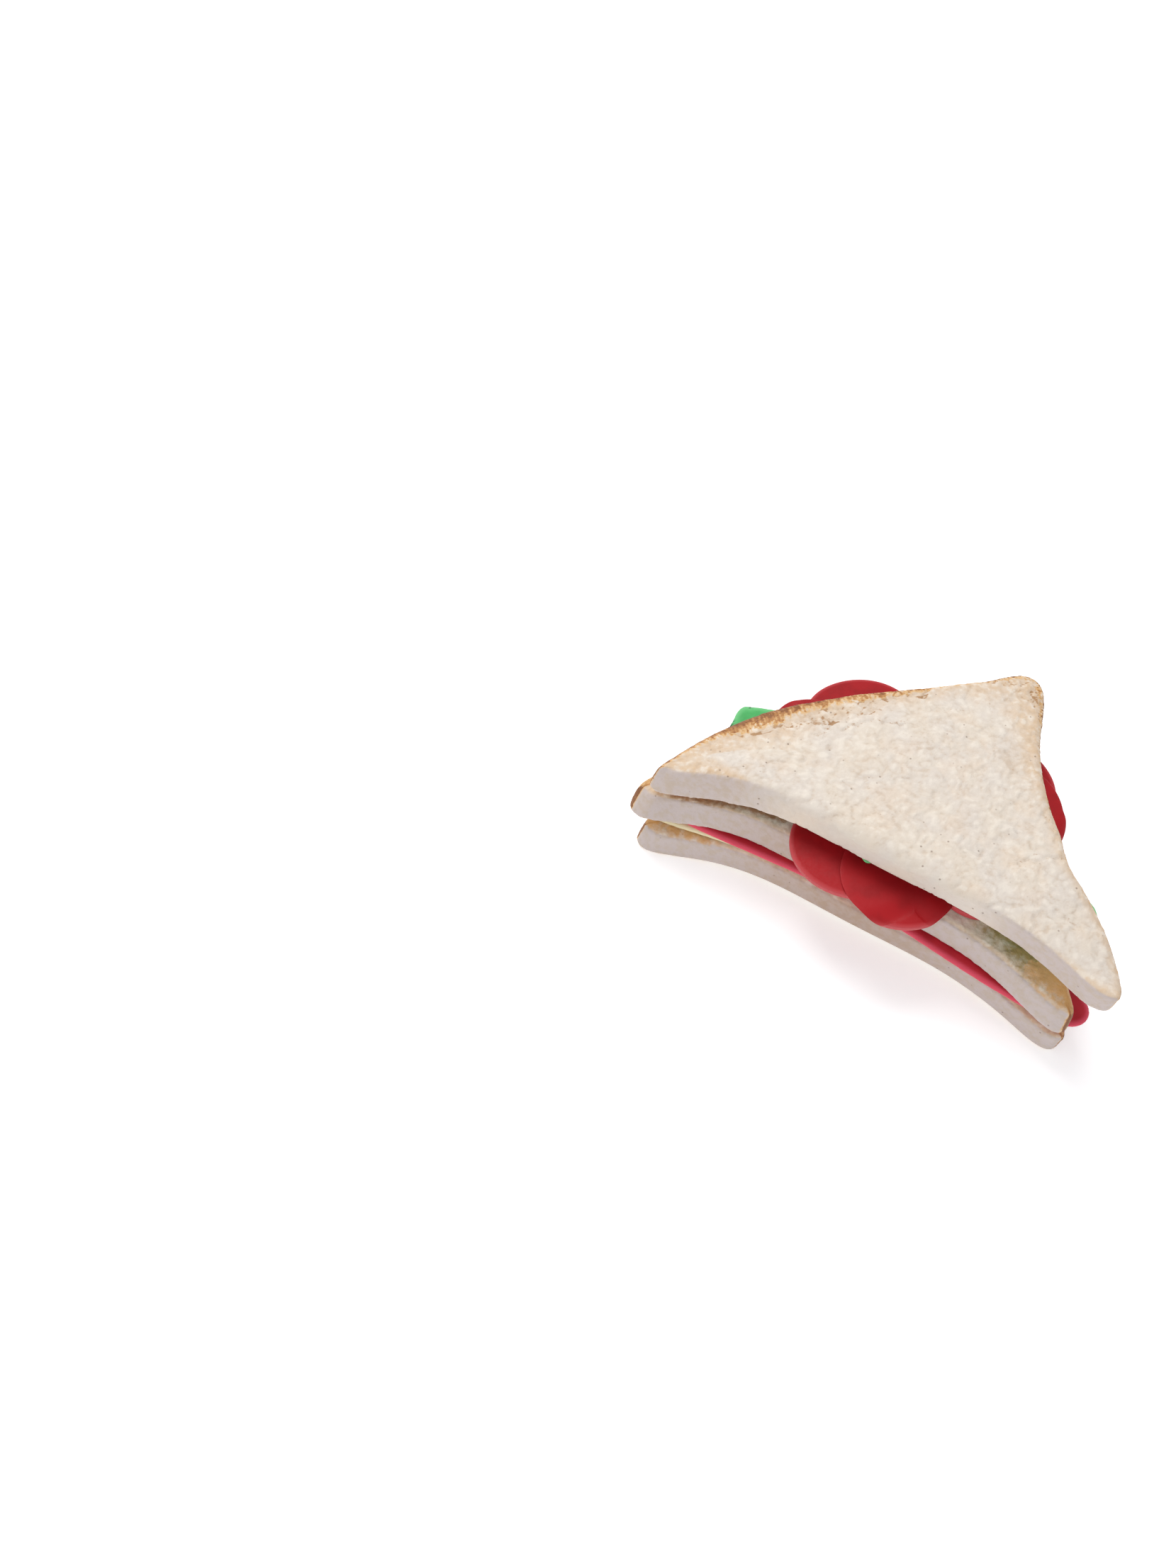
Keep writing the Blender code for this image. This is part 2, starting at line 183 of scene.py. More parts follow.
def outward(start: np.ndarray, end: np.ndarray, middle: np.ndarray) -> np.ndarray:
    """Find the side of a line that faces out of the plan.

    Args:
        start: Point x and y that the line starts from.
        end: Point that it ends at.
        middle: Point inside the plan.

    Returns:
        Unit normal of the line, on the side away from the middle.
    """
    way = (end - start) / np.linalg.norm(end - start)
    normal = np.array((-way[1], way[0]))
    return normal if normal @ ((start + end) / 2 - middle) > 0.0 else -normal


@dataclass(frozen=True)
class RoundTriangle:
    """Plan of a layer: three round corners joined by sides that swell out of line.

    Attributes:
        corners: Left tip, loaf's upper corner and right tip, as x, y and radius in mm.
        swells: For each side, how far it swells as one, two and more half waves, in mm.
        dents: Station of each dent in a side, its depth in mm and its breadth in stations.
        step: Distance between the points of a side, in mm.
        corner_steps: Steps round each corner.
        easing: Smoothing passes.
    """

    corners: tuple[tuple[float, float, float], ...]
    swells: tuple[tuple[float, ...], ...]
    dents: tuple[tuple[float, float, float], ...] = ()
    step: float = 4.2
    corner_steps: int = 4
    easing: int = 2

    def stations(self) -> Rows:
        """Walk round the plan.

        Returns:
            Rows of x, y and station: 0 is the left tip, 1 the loaf's upper corner, 2 the
            right tip, and 3 the left tip again, reached along the cut edge.
        """
        centres = [np.array(corner[:2]) for corner in self.corners]
        radii = [corner[2] for corner in self.corners]
        middle = sum(centres) / 3
        rows: list[tuple[float, float, float]] = []
        for index, swell in enumerate(self.swells):
            start, end = centres[index], centres[(index + 1) % 3]
            before = outward(centres[index - 1], start, middle)
            normal = outward(start, end, middle)
            first = math.atan2(before[1], before[0])
            turn = math.remainder(math.atan2(normal[1], normal[0]) - first, math.tau)
            for step in range(1, self.corner_steps):
                angle = first + turn * step / self.corner_steps
                spoke = np.array((math.cos(angle), math.sin(angle)))
                rows.append((*(start + spoke * radii[index]), float(index)))
            steps = int(np.linalg.norm(end - start) / self.step)
            for step in range(steps + 1):
                share = step / steps
                reach = radii[index] + (radii[(index + 1) % 3] - radii[index]) * share
                reach += sum(height * math.sin(waves * math.pi * share)
                             for waves, height in enumerate(swell, start=1))
                reach -= sum(depth * math.exp(-((index + share - at) / breadth) ** 2)
                             for at, depth, breadth in self.dents)
                rows.append((*(start + (end - start) * share + normal * reach), index + share))
        made = np.array(rows)
        for _ in range(self.easing):
            made[:, :2] = (np.roll(made, 1, 0) + 2 * made + np.roll(made, -1, 0))[:, :2] / 4
        return made


def loop_normals(points: Rows) -> Rows:
    """Find which way the plan's rim faces.

    Args:
        points: Closed loop of points x and y, clockwise.

    Returns:
        Outward unit normal at each point.
    """
    way = np.roll(points, -1, 0) - np.roll(points, 1, 0)
    normals = np.stack((-way[:, 1], way[:, 0]), 1)
    return normals / np.linalg.norm(normals, axis=1)[:, None]


def tree_of(points: Rows) -> kdtree.KDTree:
    """Make a search tree of points of the plan.

    Args:
        points: Rows of x and y in mm.

    Returns:
        Tree that finds the nearest of the points.
    """
    tree = kdtree.KDTree(len(points))
    for index, (x, y) in enumerate(points):
        tree.insert((x, y, 0.0), index)
    tree.balance()
    return tree


def near_distances(spots: Rows, points: Rows) -> np.ndarray:
    """Distance in the plan from each spot to the nearest of several points, in mm."""
    tree = tree_of(points)
    return np.array([tree.find((x, y, 0.0))[2] for x, y in spots[:, :2]])


@dataclass(frozen=True)
class Arch:
    """Low arch that the whole stack is bent over.

    Attributes:
        height: Height in the middle, in mm.
        reach_x: Where it ends along X, in mm from the middle.
        reach_y: Where it ends along Y, in mm from the middle.
    """

    height: float = 4.5
    reach_x: float = 88.0
    reach_y: float = 58.0

    def at(self, x: np.ndarray, y: np.ndarray) -> np.ndarray:
        """Height of the arch over points of the plan, in mm."""
        reach = (x / self.reach_x) ** 2 + (y / self.reach_y) ** 2
        return self.height * np.maximum(0.0, 1.0 - reach)


ARCH = Arch()


@dataclass(frozen=True)
class Sag:
    """How a layer's left tip hangs down.

    Attributes:
        depth: How far, in mm.
        start: Where along X it starts, in mm.
        full: Where it hangs in full.
    """

    depth: float = 4.6
    start: float = -42.0
    full: float = -84.0

    def at(self, x: np.ndarray) -> np.ndarray:
        """How far points of the plan hang down, in mm."""
        return self.depth * through(x, self.start, self.full)


# --- slabs ----------------------------------------------------------------------------
def face_of(name: str, points: Rows) -> bpy.types.Object:
    """Fill a circle's ring of points and put the points on a plan.

    Args:
        name: Name of the new object.
        points: Closed plan in mm.

    Returns:
        One large face on z = 0.
    """
    bpy.ops.object.select_all(action="DESELECT")
    bpy.ops.mesh.primitive_circle_add(vertices=len(points), radius=50 * MM, fill_type="NGON")
    piece = bpy.context.object
    piece.name = piece.data.name = name
    place_vertices(piece.data, np.column_stack((points, np.zeros(len(points)))) * MM)
    return piece


def slab_of(name: str, points: Rows, thickness: float) -> bpy.types.Object:
    """Extrude a plan's face upwards.

    Args:
        name: Name of the new object.
        points: Closed plan in mm, clockwise.
        thickness: Height of the slab in mm; it stands on z = 0.

    Returns:
        Slab with sharp rims and outward faces.
    """
    slab = face_of(name, points)
    bpy.ops.object.mode_set(mode="EDIT")
    bpy.ops.mesh.select_all(action="SELECT")
    bpy.ops.mesh.extrude_region_move(TRANSFORM_OT_translate={"value": (0, 0, thickness * MM)})
    bpy.ops.mesh.select_all(action="SELECT")
    bpy.ops.mesh.remove_doubles(threshold=0.001 * MM)
    bpy.ops.mesh.normals_make_consistent(inside=False)
    bpy.ops.object.mode_set(mode="OBJECT")
    return slab


def round_rims(slab: bpy.types.Object, radius: float, segments: int) -> None:
    """Bevel a slab's upper and lower rims.

    Args:
        slab: Slab with sharp rims.
        radius: Radius of the rims in mm.
        segments: Faces across the bevel.
    """
    apply_modifier(slab, "BEVEL", width=radius * MM, segments=segments, limit_method="ANGLE",
                   angle_limit=math.radians(60), use_clamp_overlap=False)


def cast_slab(name: str, plan: RoundTriangle, thickness: float, rim: float, segments: int,
              voxel: float) -> bpy.types.Object:
    """Cut a slab to its plan, round its rims and give it an even soft mesh.

    Args:
        name: Name of the new object.
        plan: Its outline.
        thickness: Its height in mm.
        rim: Radius of its rims in mm.
        segments: Faces across the rims before the new mesh.
        voxel: Grain of the new mesh in mm.

    Returns:
        Flat slab on z = 0.
    """
    slab = slab_of(name, refined(plan.stations(), 4)[:, :2], thickness)
    round_rims(slab, rim, segments)
    apply_modifier(slab, "REMESH", mode="VOXEL", voxel_size=voxel * MM)
    apply_modifier(slab, "SMOOTH", factor=0.5, iterations=2)
    return slab


def bend_to_place(piece: bpy.types.Object, level: Height, step: float = 0.5) -> None:
    """Lift a piece's flat mesh to its place in the stack, its thickness square to the bend.

    Args:
        piece: Object whose mesh lies on z = 0 in the plan's own place.
        level: Height to add in mm at points of the plan, the arch not included.
        step: Half the distance in mm over which the slope is measured.
    """
    rows = vertex_rows(piece.data) / MM
    x, y, z = rows.T
    slope_x, slope_y = ((level(x + dx, y + dy) + ARCH.at(x + dx, y + dy)
                         - level(x - dx, y - dy) - ARCH.at(x - dx, y - dy)) / (2 * step)
                        for dx, dy in ((step, 0.0), (0.0, step)))
    up = z / np.sqrt(1.0 + slope_x ** 2 + slope_y ** 2)
    rows = np.column_stack((x - slope_x * up, y - slope_y * up,
                            up + level(x, y) + ARCH.at(x, y)))
    rows[:, :2] -= STACK_MIDDLE
    place_vertices(piece.data, rows * MM)


def settle(piece: bpy.types.Object, node: str, finish: bpy.types.Material) -> None:
    """Give a finished piece its material and its place in the fixed frame.

    Args:
        piece: Finished object.
        node: Node of the frame that it stands for.
        finish: Its material.
    """
    piece.data.materials.clear()
    piece.data.materials.append(finish)
    select_only(piece)
    bpy.ops.object.shade_smooth()
    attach(piece, BODY)
    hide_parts(node)
    piece.data.calc_loop_triangles()
    log.info("%s: %d triangles", piece.name, len(piece.data.loop_triangles))


# --- finishes -------------------------------------------------------------------------
class Nodes:
    """Node tree of one material, with its shader."""

    def __init__(self, name: str) -> None:
        """Make an empty principled material of the given name."""
        self.material = bpy.data.materials.new(name)
        self.material.use_nodes = True
        self.tree = self.material.node_tree
        self.shader = self.tree.nodes["Principled BSDF"]

    def add(self, kind: str, settings: dict[str, object], inputs: dict[str | int, object],
            output: str | int = 0) -> Socket:
        """Add a node, set it up and link it.

        Args:
            kind: Blender's name of the node, without "ShaderNode".
            settings: The node's own properties.
            inputs: For each input, by name or number, what feeds it.
            output: Name or number of the output that is wanted.

        Returns:
            That output of the new node.
        """
        made = self.tree.nodes.new("ShaderNode" + kind)
        for name, value in settings.items():
            setattr(made, name, value)
        self.feed(made, inputs)
        return made.outputs[output]

    def feed(self, target: bpy.types.Node, inputs: dict[str | int, object]) -> None:
        """Set or link a node's inputs.

        Args:
            target: Node to feed.
            inputs: For each input, by name or number, a socket, a value or an sRGB hex colour.
        """
        for name, value in inputs.items():
            if isinstance(value, Socket):
                self.tree.links.new(value, target.inputs[name])
            else:
                target.inputs[name].default_value = (
                    linear(value) if isinstance(value, str) else value)

    def clouds(self, grain: float, detail: float, roughness: float = 0.5,
               shift: tuple[float, float, float] = (0.0, 0.0, 0.0)) -> Socket:
        """Cloudy noise on the object's own coordinates.

        Args:
            grain: Size of the clouds in mm.
            detail: Octaves of finer clouds.
            roughness: Share of each finer octave.
            shift: Shift of the coordinates in m, for clouds of one size that differ.

        Returns:
            Socket of the noise, from 0 to 1.
        """
        where = self.add("VectorMath", {"operation": "ADD"}, {
            0: self.add("TexCoord", {}, {}, "Object"), 1: shift})
        return self.add("TexNoise", {}, {"Vector": where, "Scale": 1 / (grain * MM),
                                         "Detail": detail, "Roughness": roughness})

    def roughened(self, base: Socket | float, *noises: tuple[Socket, float]) -> Socket:
        """Add noises to a mask, each centred on zero.

        Args:
            base: Mask or number to start from.
            *noises: Socket of each noise, and its weight.

        Returns:
            Socket of the sum.
        """
        for pattern, weight in noises:
            centred = self.add("Math", {"operation": "SUBTRACT"}, {0: pattern, 1: 0.5})
            base = self.add("Math", {"operation": "MULTIPLY_ADD"},
                            {0: centred, 1: weight, 2: base})
        return base

    def masked(self, mask: Socket | float, by: Socket, low: float, high: float,
               least: float = 0.0, most: float = 1.0) -> Socket:
        """Multiply a mask by how far another number has gone through a range, smoothly.

        Args:
            mask: Mask to multiply.
            by: Number that goes through the range.
            low: Where the range starts.
            high: Where it ends.
            least: Factor at its start and before it.
            most: Factor at its end and beyond it.

        Returns:
            Socket of the product.
        """
        factor = self.add("MapRange", {"interpolation_type": "SMOOTHSTEP"}, {
            "Value": by, "From Min": low, "From Max": high, "To Min": least, "To Max": most})
        return self.add("Math", {"operation": "MULTIPLY"}, {0: mask, 1: factor})

    def painted(self, colour: Socket | str, *coats: tuple[Socket | float, Socket | str]
                ) -> Socket:
        """Lay coats of paint over a colour.

        Args:
            colour: Colour below all the coats.
            *coats: How much of each coat shows, and its colour.

        Returns:
            Socket of the colour that is seen.
        """
        for share, coat in coats:
            colour = self.add("Mix", {"data_type": "RGBA"},
                              {"Factor": share, 6: colour, 7: coat}, 2)
        return colour

    def embossed(self, *heights: tuple[Socket, float]) -> Socket:
        """Raise the surface in its shading by patterns, one on the other.

        Args:
            *heights: Socket of each pattern, and its height in mm.

        Returns:
            Socket of the normal.
        """
        under: dict[str | int, object] = {}
        for pattern, height in heights:
            under["Normal"] = self.add("Bump", {}, {
                "Height": pattern, "Distance": height * MM, **under})
        return under["Normal"]


@dataclass(frozen=True)
class BrushedFoam:
    """Self-skinned polyurethane foam, moulded open and painted by hand in thin acrylic.

    The eye gets a chalky cream crumb whose hollows hold a greyer wash, a calmer and
    cooler cut face with a few specks, darker and browner towards its middle with painted
    shade, and a crust that is airbrushed in caramel and breaks up into short combed
    strokes where it fades out over the rim.
    """

    cream: str = "#DCD0C0"
    light: str = "#EAE1D3"
    cool: str = "#D9CFC3"
    peach: str = "#DECAB4"
    haze: str = "#D3B48F"
    wash: str = "#BFA991"
    cut: str = "#C3B6B1"
    cut_warm: str = "#BFB0A3"
    # Brown tint and painted shade for the middle of the cut walls
    wall_brown_and_shade: str = "#AD917B"
    edge: str = "#7D4E2C"
    speck: str = "#6E5240"
    groove: str = "#A27444"
    ochre: str = "#D8AE74"
    caramel: str = "#B27B45"
    brown: str = "#855229"
    ochre_stain: str = "#D9A76C"
    olive_stain: str = "#A5884A"
    # Brown of the thin line under the top slice: partly paint, partly painted contact shadow
    brown_paint_and_contact_shadow: str = "#9C6B45"
    patch: float = 13.0  # mm across the paint's warm and cool patches
    mottle: float = 2.6  # mm across its brush dabs
    grain: float = 0.9  # mm between the pores of the skin
    speck_spacing: float = 3.2  # mm between the places where a speck may be
    stroke: tuple[float, float] = (1.0, 5.0)  # mm along the rim and square to it
    roughness: float = 0.8

    def build(self) -> bpy.types.Material:
        """Make the material, which reads its masks and its place along the rim from the mesh."""
        n = Nodes("polyurethane_foam_brush_painted")
        cut, crust, crease, hollow, haze, wall_brown_and_shade, stain_and_shade, hue, brink = (
            n.add("Attribute", {"attribute_name": name}, {}, "Fac") for name in (
                "cut", "crust", "crease", "hollow", "haze", "wall_brown_and_shade", "stain_and_shade", "hue", "brink"))
        patches, dabs, pores = (n.clouds(self.patch, 2), n.clouds(self.mottle, 3, 0.6),
                                n.clouds(self.grain, 2))
        others = n.clouds(self.patch * 0.7, 2, shift=(0.31, 0.17, 0.05))
        height = n.roughened(hollow, (dabs, 0.9))
        crumb = n.painted(
            self.cool,
            (n.masked(1.0, patches, 0.35, 0.65), self.cream),
            (n.masked(1.0, others, 0.45, 0.72, 0.0, 0.4), self.peach),
            (n.masked(haze, dabs, 0.25, 0.75, 0.35, 0.95), self.haze),
            (n.masked(1.0, height, 0.50, 0.10, 0.0, 0.5), self.light),
            (n.masked(1.0, height, 0.50, 1.05, 0.0, 0.5), self.wash))
        # Cut wall: its own colour and warmer dabs, then a brown tint with painted shade towards
        # its middle
        wall = n.painted(
            self.cut,
            (n.masked(1.0, dabs, 0.4, 0.66), self.cut_warm),
            (n.masked(wall_brown_and_shade, dabs, 0.2, 0.7, 0.6, 1.0), self.wall_brown_and_shade))
        mark = n.masked(1.0, n.roughened(crease, (pores, 1.1), (dabs, 0.9)),
                        0.28, 0.82, 0.0, 0.75)
        comb = n.add("TexNoise", {}, {"Scale": 1.0, "Detail": 1.0, "Vector": n.add(
            "VectorMath", {"operation": "DIVIDE"}, {
                0: n.add("Attribute", {"attribute_name": "rim"}, {}, "Vector"),
                1: (*self.stroke, 1.0)})})
        rough = n.masked(n.roughened(0.0, (comb, 1.6), (dabs, 1.4), (pores, 0.8)),
                         crust, 0.0, 0.35)
        filled = n.add("Math", {"operation": "ADD"}, {
            0: crust, 1: n.masked(crease, crust, 0.0, 0.3, 0.0, 0.6)})
        spray, combed = (n.add("Math", {"operation": "ADD"}, {0: mask, 1: rough})
                         for mask in (filled, brink))
        # Stain colours: ochre, olive brown, and brown that is partly painted contact shadow
        stains = n.painted(self.ochre_stain, (hue, self.olive_stain),
                           (n.masked(1.0, hue, 1.0, 2.0), self.brown_paint_and_contact_shadow))
        ragged = n.masked(1.0, n.roughened(stain_and_shade, (dabs, 1.5)), 0.1, 1.0, 0.0, 0.9)
        colour = n.painted(
            crumb,
            (cut, wall),
            (self.specks(n), self.speck),
            (n.masked(mark, crease, 0.04, 0.2), self.groove),
            (n.masked(1.0, spray, 0.12, 0.62, 0.0, 0.85), self.ochre),
            (n.masked(1.0, spray, 0.50, 0.95, 0.0, 0.95), self.caramel),
            (n.masked(1.0, spray, 0.95, 1.45, 0.0, 0.9), self.brown),
            (n.masked(1.0, combed, 0.45, 0.85, 0.0, 0.85), self.edge),
            (n.masked(ragged, stain_and_shade, 0.0, 0.35), stains))
        n.feed(n.shader, {
            "Base Color": colour, "IOR": 1.47, "Normal": n.embossed((dabs, 0.28), (pores, 0.10)),
            "Roughness": n.masked(1.0, spray, 0.3, 1.0, self.roughness, self.roughness - 0.2)})
        return n.material

    def specks(self, n: Nodes) -> Socket:
        """Draw small brown specks, one in a few of the cells that the spacing makes.

        Args:
            n: Node tree of the material.

        Returns:
            Socket of how much of the specks' colour shows.
        """
        dots = n.add("TexVoronoi", {}, {
            "Vector": n.add("TexCoord", {}, {}, "Object"),
            "Scale": 1 / (self.speck_spacing * MM)}, "Distance")
        chosen = n.add("SeparateColor", {}, {0: dots.node.outputs["Color"]})
        return n.masked(n.masked(1.0, dots, 0.15, 0.05), chosen, 0.62, 0.80, 0.0, 0.6)


@dataclass(frozen=True)
class SoftVinyl:
    """Soft PVC poured in a mould, coloured right through, with a satin skin.

    The eye gets a deep even colour with faint clouds, a lighter colour along the rounded
    rim, and a soft highlight broken up by the mould's fine grain. On the tomato that rim
    colour is a painted highlight, and on the ham it is the painted lit side of the sheet.

    Attributes:
        name: Name of the material.
        colour: Main colour of its faces.
        clouds: Colour of the clouds in it.
        rim: Colour along its rim: a painted highlight on the tomato, painted light on the ham.
        rim_share: How much of that colour shows there.
        roughness: Roughness of its skin.
        shine: Specular level of its skin.
        cloud: Size of the clouds in mm.
        grain: Size of the mould's grain in mm.
    """

    name: str
    colour: str
    clouds: str
    rim: str
    rim_share: float = 0.85
    roughness: float = 0.5
    shine: float = 0.25
    cloud: float = 9.0
    grain: float = 0.8

    def build(self) -> bpy.types.Material:
        """Make the material, which reads rim from the mesh."""
        n = Nodes(self.name)
        clouds, grain = n.clouds(self.cloud, 3), n.clouds(self.grain, 2)
        rim = n.add("Math", {"operation": "MULTIPLY"}, {
            0: n.add("Attribute", {"attribute_name": "rim"}, {}, "Fac"), 1: self.rim_share})
        n.feed(n.shader, {
            "Base Color": n.painted(self.colour, (n.masked(1.0, clouds, 0.42, 0.68), self.clouds),
                                    (rim, self.rim)),
            "IOR": 1.53, "Specular IOR Level": self.shine,
            "Roughness": n.masked(1.0, grain, 0.3, 0.7, self.roughness - 0.06,
                                  self.roughness + 0.08),
            "Normal": n.embossed((clouds, 0.06), (grain, 0.02))})
        return n.material


# --- bread ----------------------------------------------------------------------------
def line_distances(rows: Rows, line: tuple[tuple[float, float], ...]) -> tuple[np.ndarray, ...]:
    """Find how far points of the plan lie from a line through several points.

    Args:
        rows: Rows that start with x and y in mm.
        line: Points x and y of the line in mm.

    Returns:
        Distance from the line in mm, and 1 on its left side or -1 on its right.
    """
    away, side = np.full(len(rows), np.inf), np.ones(len(rows))
    for start, end in zip(line, line[1:]):
        way, off = np.subtract(end, start), rows[:, :2] - start
        share = np.clip(off @ way / (way @ way), 0.0, 1.0)
        distance = np.linalg.norm(off - share[:, None] * way, axis=1)
        turn = np.where(way[0] * off[:, 1] - way[1] * off[:, 0] < 0.0, -1.0, 1.0)
        side = np.where(distance < away, turn, side)
        away = np.minimum(away, distance)
    return away, side


@dataclass(frozen=True)
class Stain:
    """Patch of paint on a slice's upper face, along a line through points of its plan; the brown
    kind is partly painted contact shadow.

    Attributes:
        line: Points x and y in mm, from left to right.
        breadth: Half the width of the patch in mm.
        hue: 0 for ochre, 1 for olive brown, 2 for brown that is partly painted contact shadow.
        fade: Half the breadth of its soft edge in mm.
    """

    line: tuple[tuple[float, float], ...]
    breadth: float
    hue: float = 0.0
    fade: float = 3.0

    def over(self, rows: Rows) -> np.ndarray:
        """How strongly the patch covers points of the plan: 0.5 on its edge, then fading."""
        away, _ = line_distances(rows, self.line)
        return np.clip(0.5 + (self.breadth - away) / (2 * self.fade), 0.0, 1.0)


@dataclass(frozen=True)
class Fold:
    """Fold in the skin: a groove with a raised lip on the left side of its line.

    Attributes:
        line: Points x and y of the plan, in mm.
        depth: Depth of the groove in mm.
        brown: How much brown paint lies in it, from 0 to 1.
        breadth: Half the width of the groove in mm.
        ragged: How far its line strays with the skin's lumps, in mm.
    """

    line: tuple[tuple[float, float], ...]
    depth: float = 0.34
    brown: float = 0.2
    breadth: float = 0.6
    ragged: float = 2.6

    def over(self, rows: Rows, hollow: np.ndarray) -> tuple[np.ndarray, ...]:
        """Work out the fold in the skin.

        Args:
            rows: Points of the slice in mm.
            hollow: How much each lies in a hollow, from 0 to 1.

        Returns:
            Depth of the skin in mm, negative on the lip, and share of brown paint.
        """
        away, side = line_distances(rows, self.line)
        signed = side * away + (hollow - 0.5) * self.ragged
        groove = np.exp(-(signed / self.breadth) ** 2) * (away < 4 * self.breadth)
        lip = np.exp(-((signed - 1.8 * self.breadth) / (1.2 * self.breadth)) ** 2)
        lip *= eased((5 * self.breadth - away) / self.breadth)
        return self.depth * (groove - 0.7 * lip), self.brown * groove


@dataclass(frozen=True)
class Blister:
    """Round bubble in the skin with a groove round it: place, radius and height in mm."""

    x: float
    y: float
    radius: float
    height: float

    def depth(self, rows: Rows) -> np.ndarray:
        """Work out the skin over and round the bubble.

        Args:
            rows: Points of the slice in mm.

        Returns:
            Depth of the skin in mm: negative on the bubble, positive in the groove.
        """
        away = np.hypot(rows[:, 0] - self.x, rows[:, 1] - self.y) / self.radius
        groove = np.exp(-((away - 1.25) / 0.28) ** 2)
        return self.height * (0.8 * groove - eased(1.25 - away))


@dataclass(frozen=True)
class CrumbRelief:
    """Skin of foam that rose in an open mould: lumps, torn flakes, ledges and pits.

    Attributes:
        lumps: Size and height of each kind of lump, in mm.
        swell: Size of the broad swells, in mm.
        swell_height: Their height in mm.
        flake: Size of the flakes, in mm.
        flake_step: Height in mm between one flake and the next.
        crease: Half the width of the crease between flakes, in mm.
        crease_depth: Its depth in mm.
        warp: How far the flakes are pulled out of shape, in mm.
        warp_size: Size of the noise that pulls them, in mm.
        torn_depth: How much lower the skin lies where it is torn off, in mm.
        tear: Size and height of each wave in the tear's edge, in mm.
        ledge: Size of the ledges, in mm.
        ledge_step: Their height in mm.
        patch: Size of the patches with more flakes and ledges, in mm.
        pit_spacing: Distance between the places where a pit may be, in mm.
        pit: Radius of a pit, in mm.
        pit_depth: Its depth in mm.
        grit: Size of the finest grain, in mm.
        grit_height: Its height in mm.
    """

    lumps: tuple[tuple[float, float], ...] = ((5.2, 0.42), (2.6, 0.46), (1.5, 0.34))
    swell: float = 19.0
    swell_height: float = 0.5
    flake: float = 3.6
    flake_step: float = 0.55
    crease: float = 0.75
    crease_depth: float = 0.34
    warp: float = 2.6
    warp_size: float = 7.0
    torn_depth: float = 0.32
    tear: tuple[tuple[float, float], ...] = ((9.0, 3.4), (2.8, 2.4))
    ledge: float = 11.0
    ledge_step: float = 0.30
    patch: float = 23.0
    pit_spacing: float = 7.5
    pit: float = 0.8
    pit_depth: float = 0.45
    grit: float = 1.3
    grit_height: float = 0.06

    def at(self, spots: Rows, seed: float, edge: np.ndarray) -> tuple[np.ndarray, ...]:
        """Work out the skin's depth under its highest level.

        Args:
            spots: Rows of x, y and z in mm.
            seed: Shift of the noise that tells one slice from another.
            edge: How far inside the line where the skin is torn off each spot lies, in mm.

        Returns:
            Depth in mm, how much each spot lies in a crease, from 0 to 1, and how much
            it lies in a hollow.
        """
        rows = np.empty((len(spots), 11 + len(self.lumps)))
        for index, spot in enumerate(map(Vector, spots + seed * 31.7)):
            shift = noise.noise_vector(spot / self.warp_size) * self.warp
            gaps, cells = noise.voronoi((spot + shift) / self.flake)
            holes, hole_cells = noise.voronoi(spot / self.pit_spacing)
            rows[index] = (
                gaps[1] - gaps[0], noise.noise(cells[0] * 7.31), noise.noise(cells[1] * 7.31),
                holes[0], noise.noise(hole_cells[0] * 5.77), noise.noise(spot / self.swell),
                noise.noise((spot + shift * 1.5) / self.ledge),
                noise.noise(spot / self.patch + Vector((5.0, 3.0, 1.0))),
                noise.noise(spot / self.grit),
                *(noise.noise(spot / size) for size, _ in self.tear),
                *(noise.noise((spot + shift * 0.5) / size + Vector((size, 0.0, 0.0)))
                  for size, _ in self.lumps))
        (gap, near, second, hole, chosen, swell, step, patch, grit, ragged, frayed,
         *lumps) = rows.T
        lump = sum(height * np.abs(bump) for (_, height), bump in zip(self.lumps, lumps))
        edge = edge + self.tear[0][1] * ragged + self.tear[1][1] * frayed
        torn = eased(edge / 0.9)
        lip = eased(1.0 - np.abs(edge - 0.3) / 0.9) * eased(0.6 + 1.6 * chosen)
        flaky = np.maximum(0.18 * eased(0.5 + patch * 1.6), torn)
        inside = eased(gap * self.flake / 2 / self.crease)
        plate = (near + second) / 2 * (1 - inside) + near * inside
        crease = (1 - inside) * flaky * eased(0.45 + (near - second) * 1.5)
        ledge = eased(0.5 + step / 0.10)
        line = eased(1.0 - np.abs(step) / 0.04) * eased(patch * 2 + 0.3)
        pits = eased((self.pit - hole * self.pit_spacing) / self.pit) * (chosen > 0.1)
        depth = (0.5 - lump * (1 - 0.3 * torn) - swell * self.swell_height
                 - plate * self.flake_step * flaky + crease * self.crease_depth
                 + torn * self.torn_depth - (ledge - 0.5) * self.ledge_step * (1 - torn)
                 + pits * self.pit_depth - grit * self.grit_height)
        broken = eased(0.72 + 1.7 * frayed + 1.0 * grit)
        brown = np.maximum(crease * torn, lip) * broken + 0.25 * line * broken + 0.7 * pits
        hollow = 0.5 - (lump - 0.27) * 1.5 - plate * 0.8 * flaky + 0.4 * crease + 0.3 * line
        return depth, np.clip(brown, 0.0, 1.0), np.clip(hollow, 0.0, 1.0)


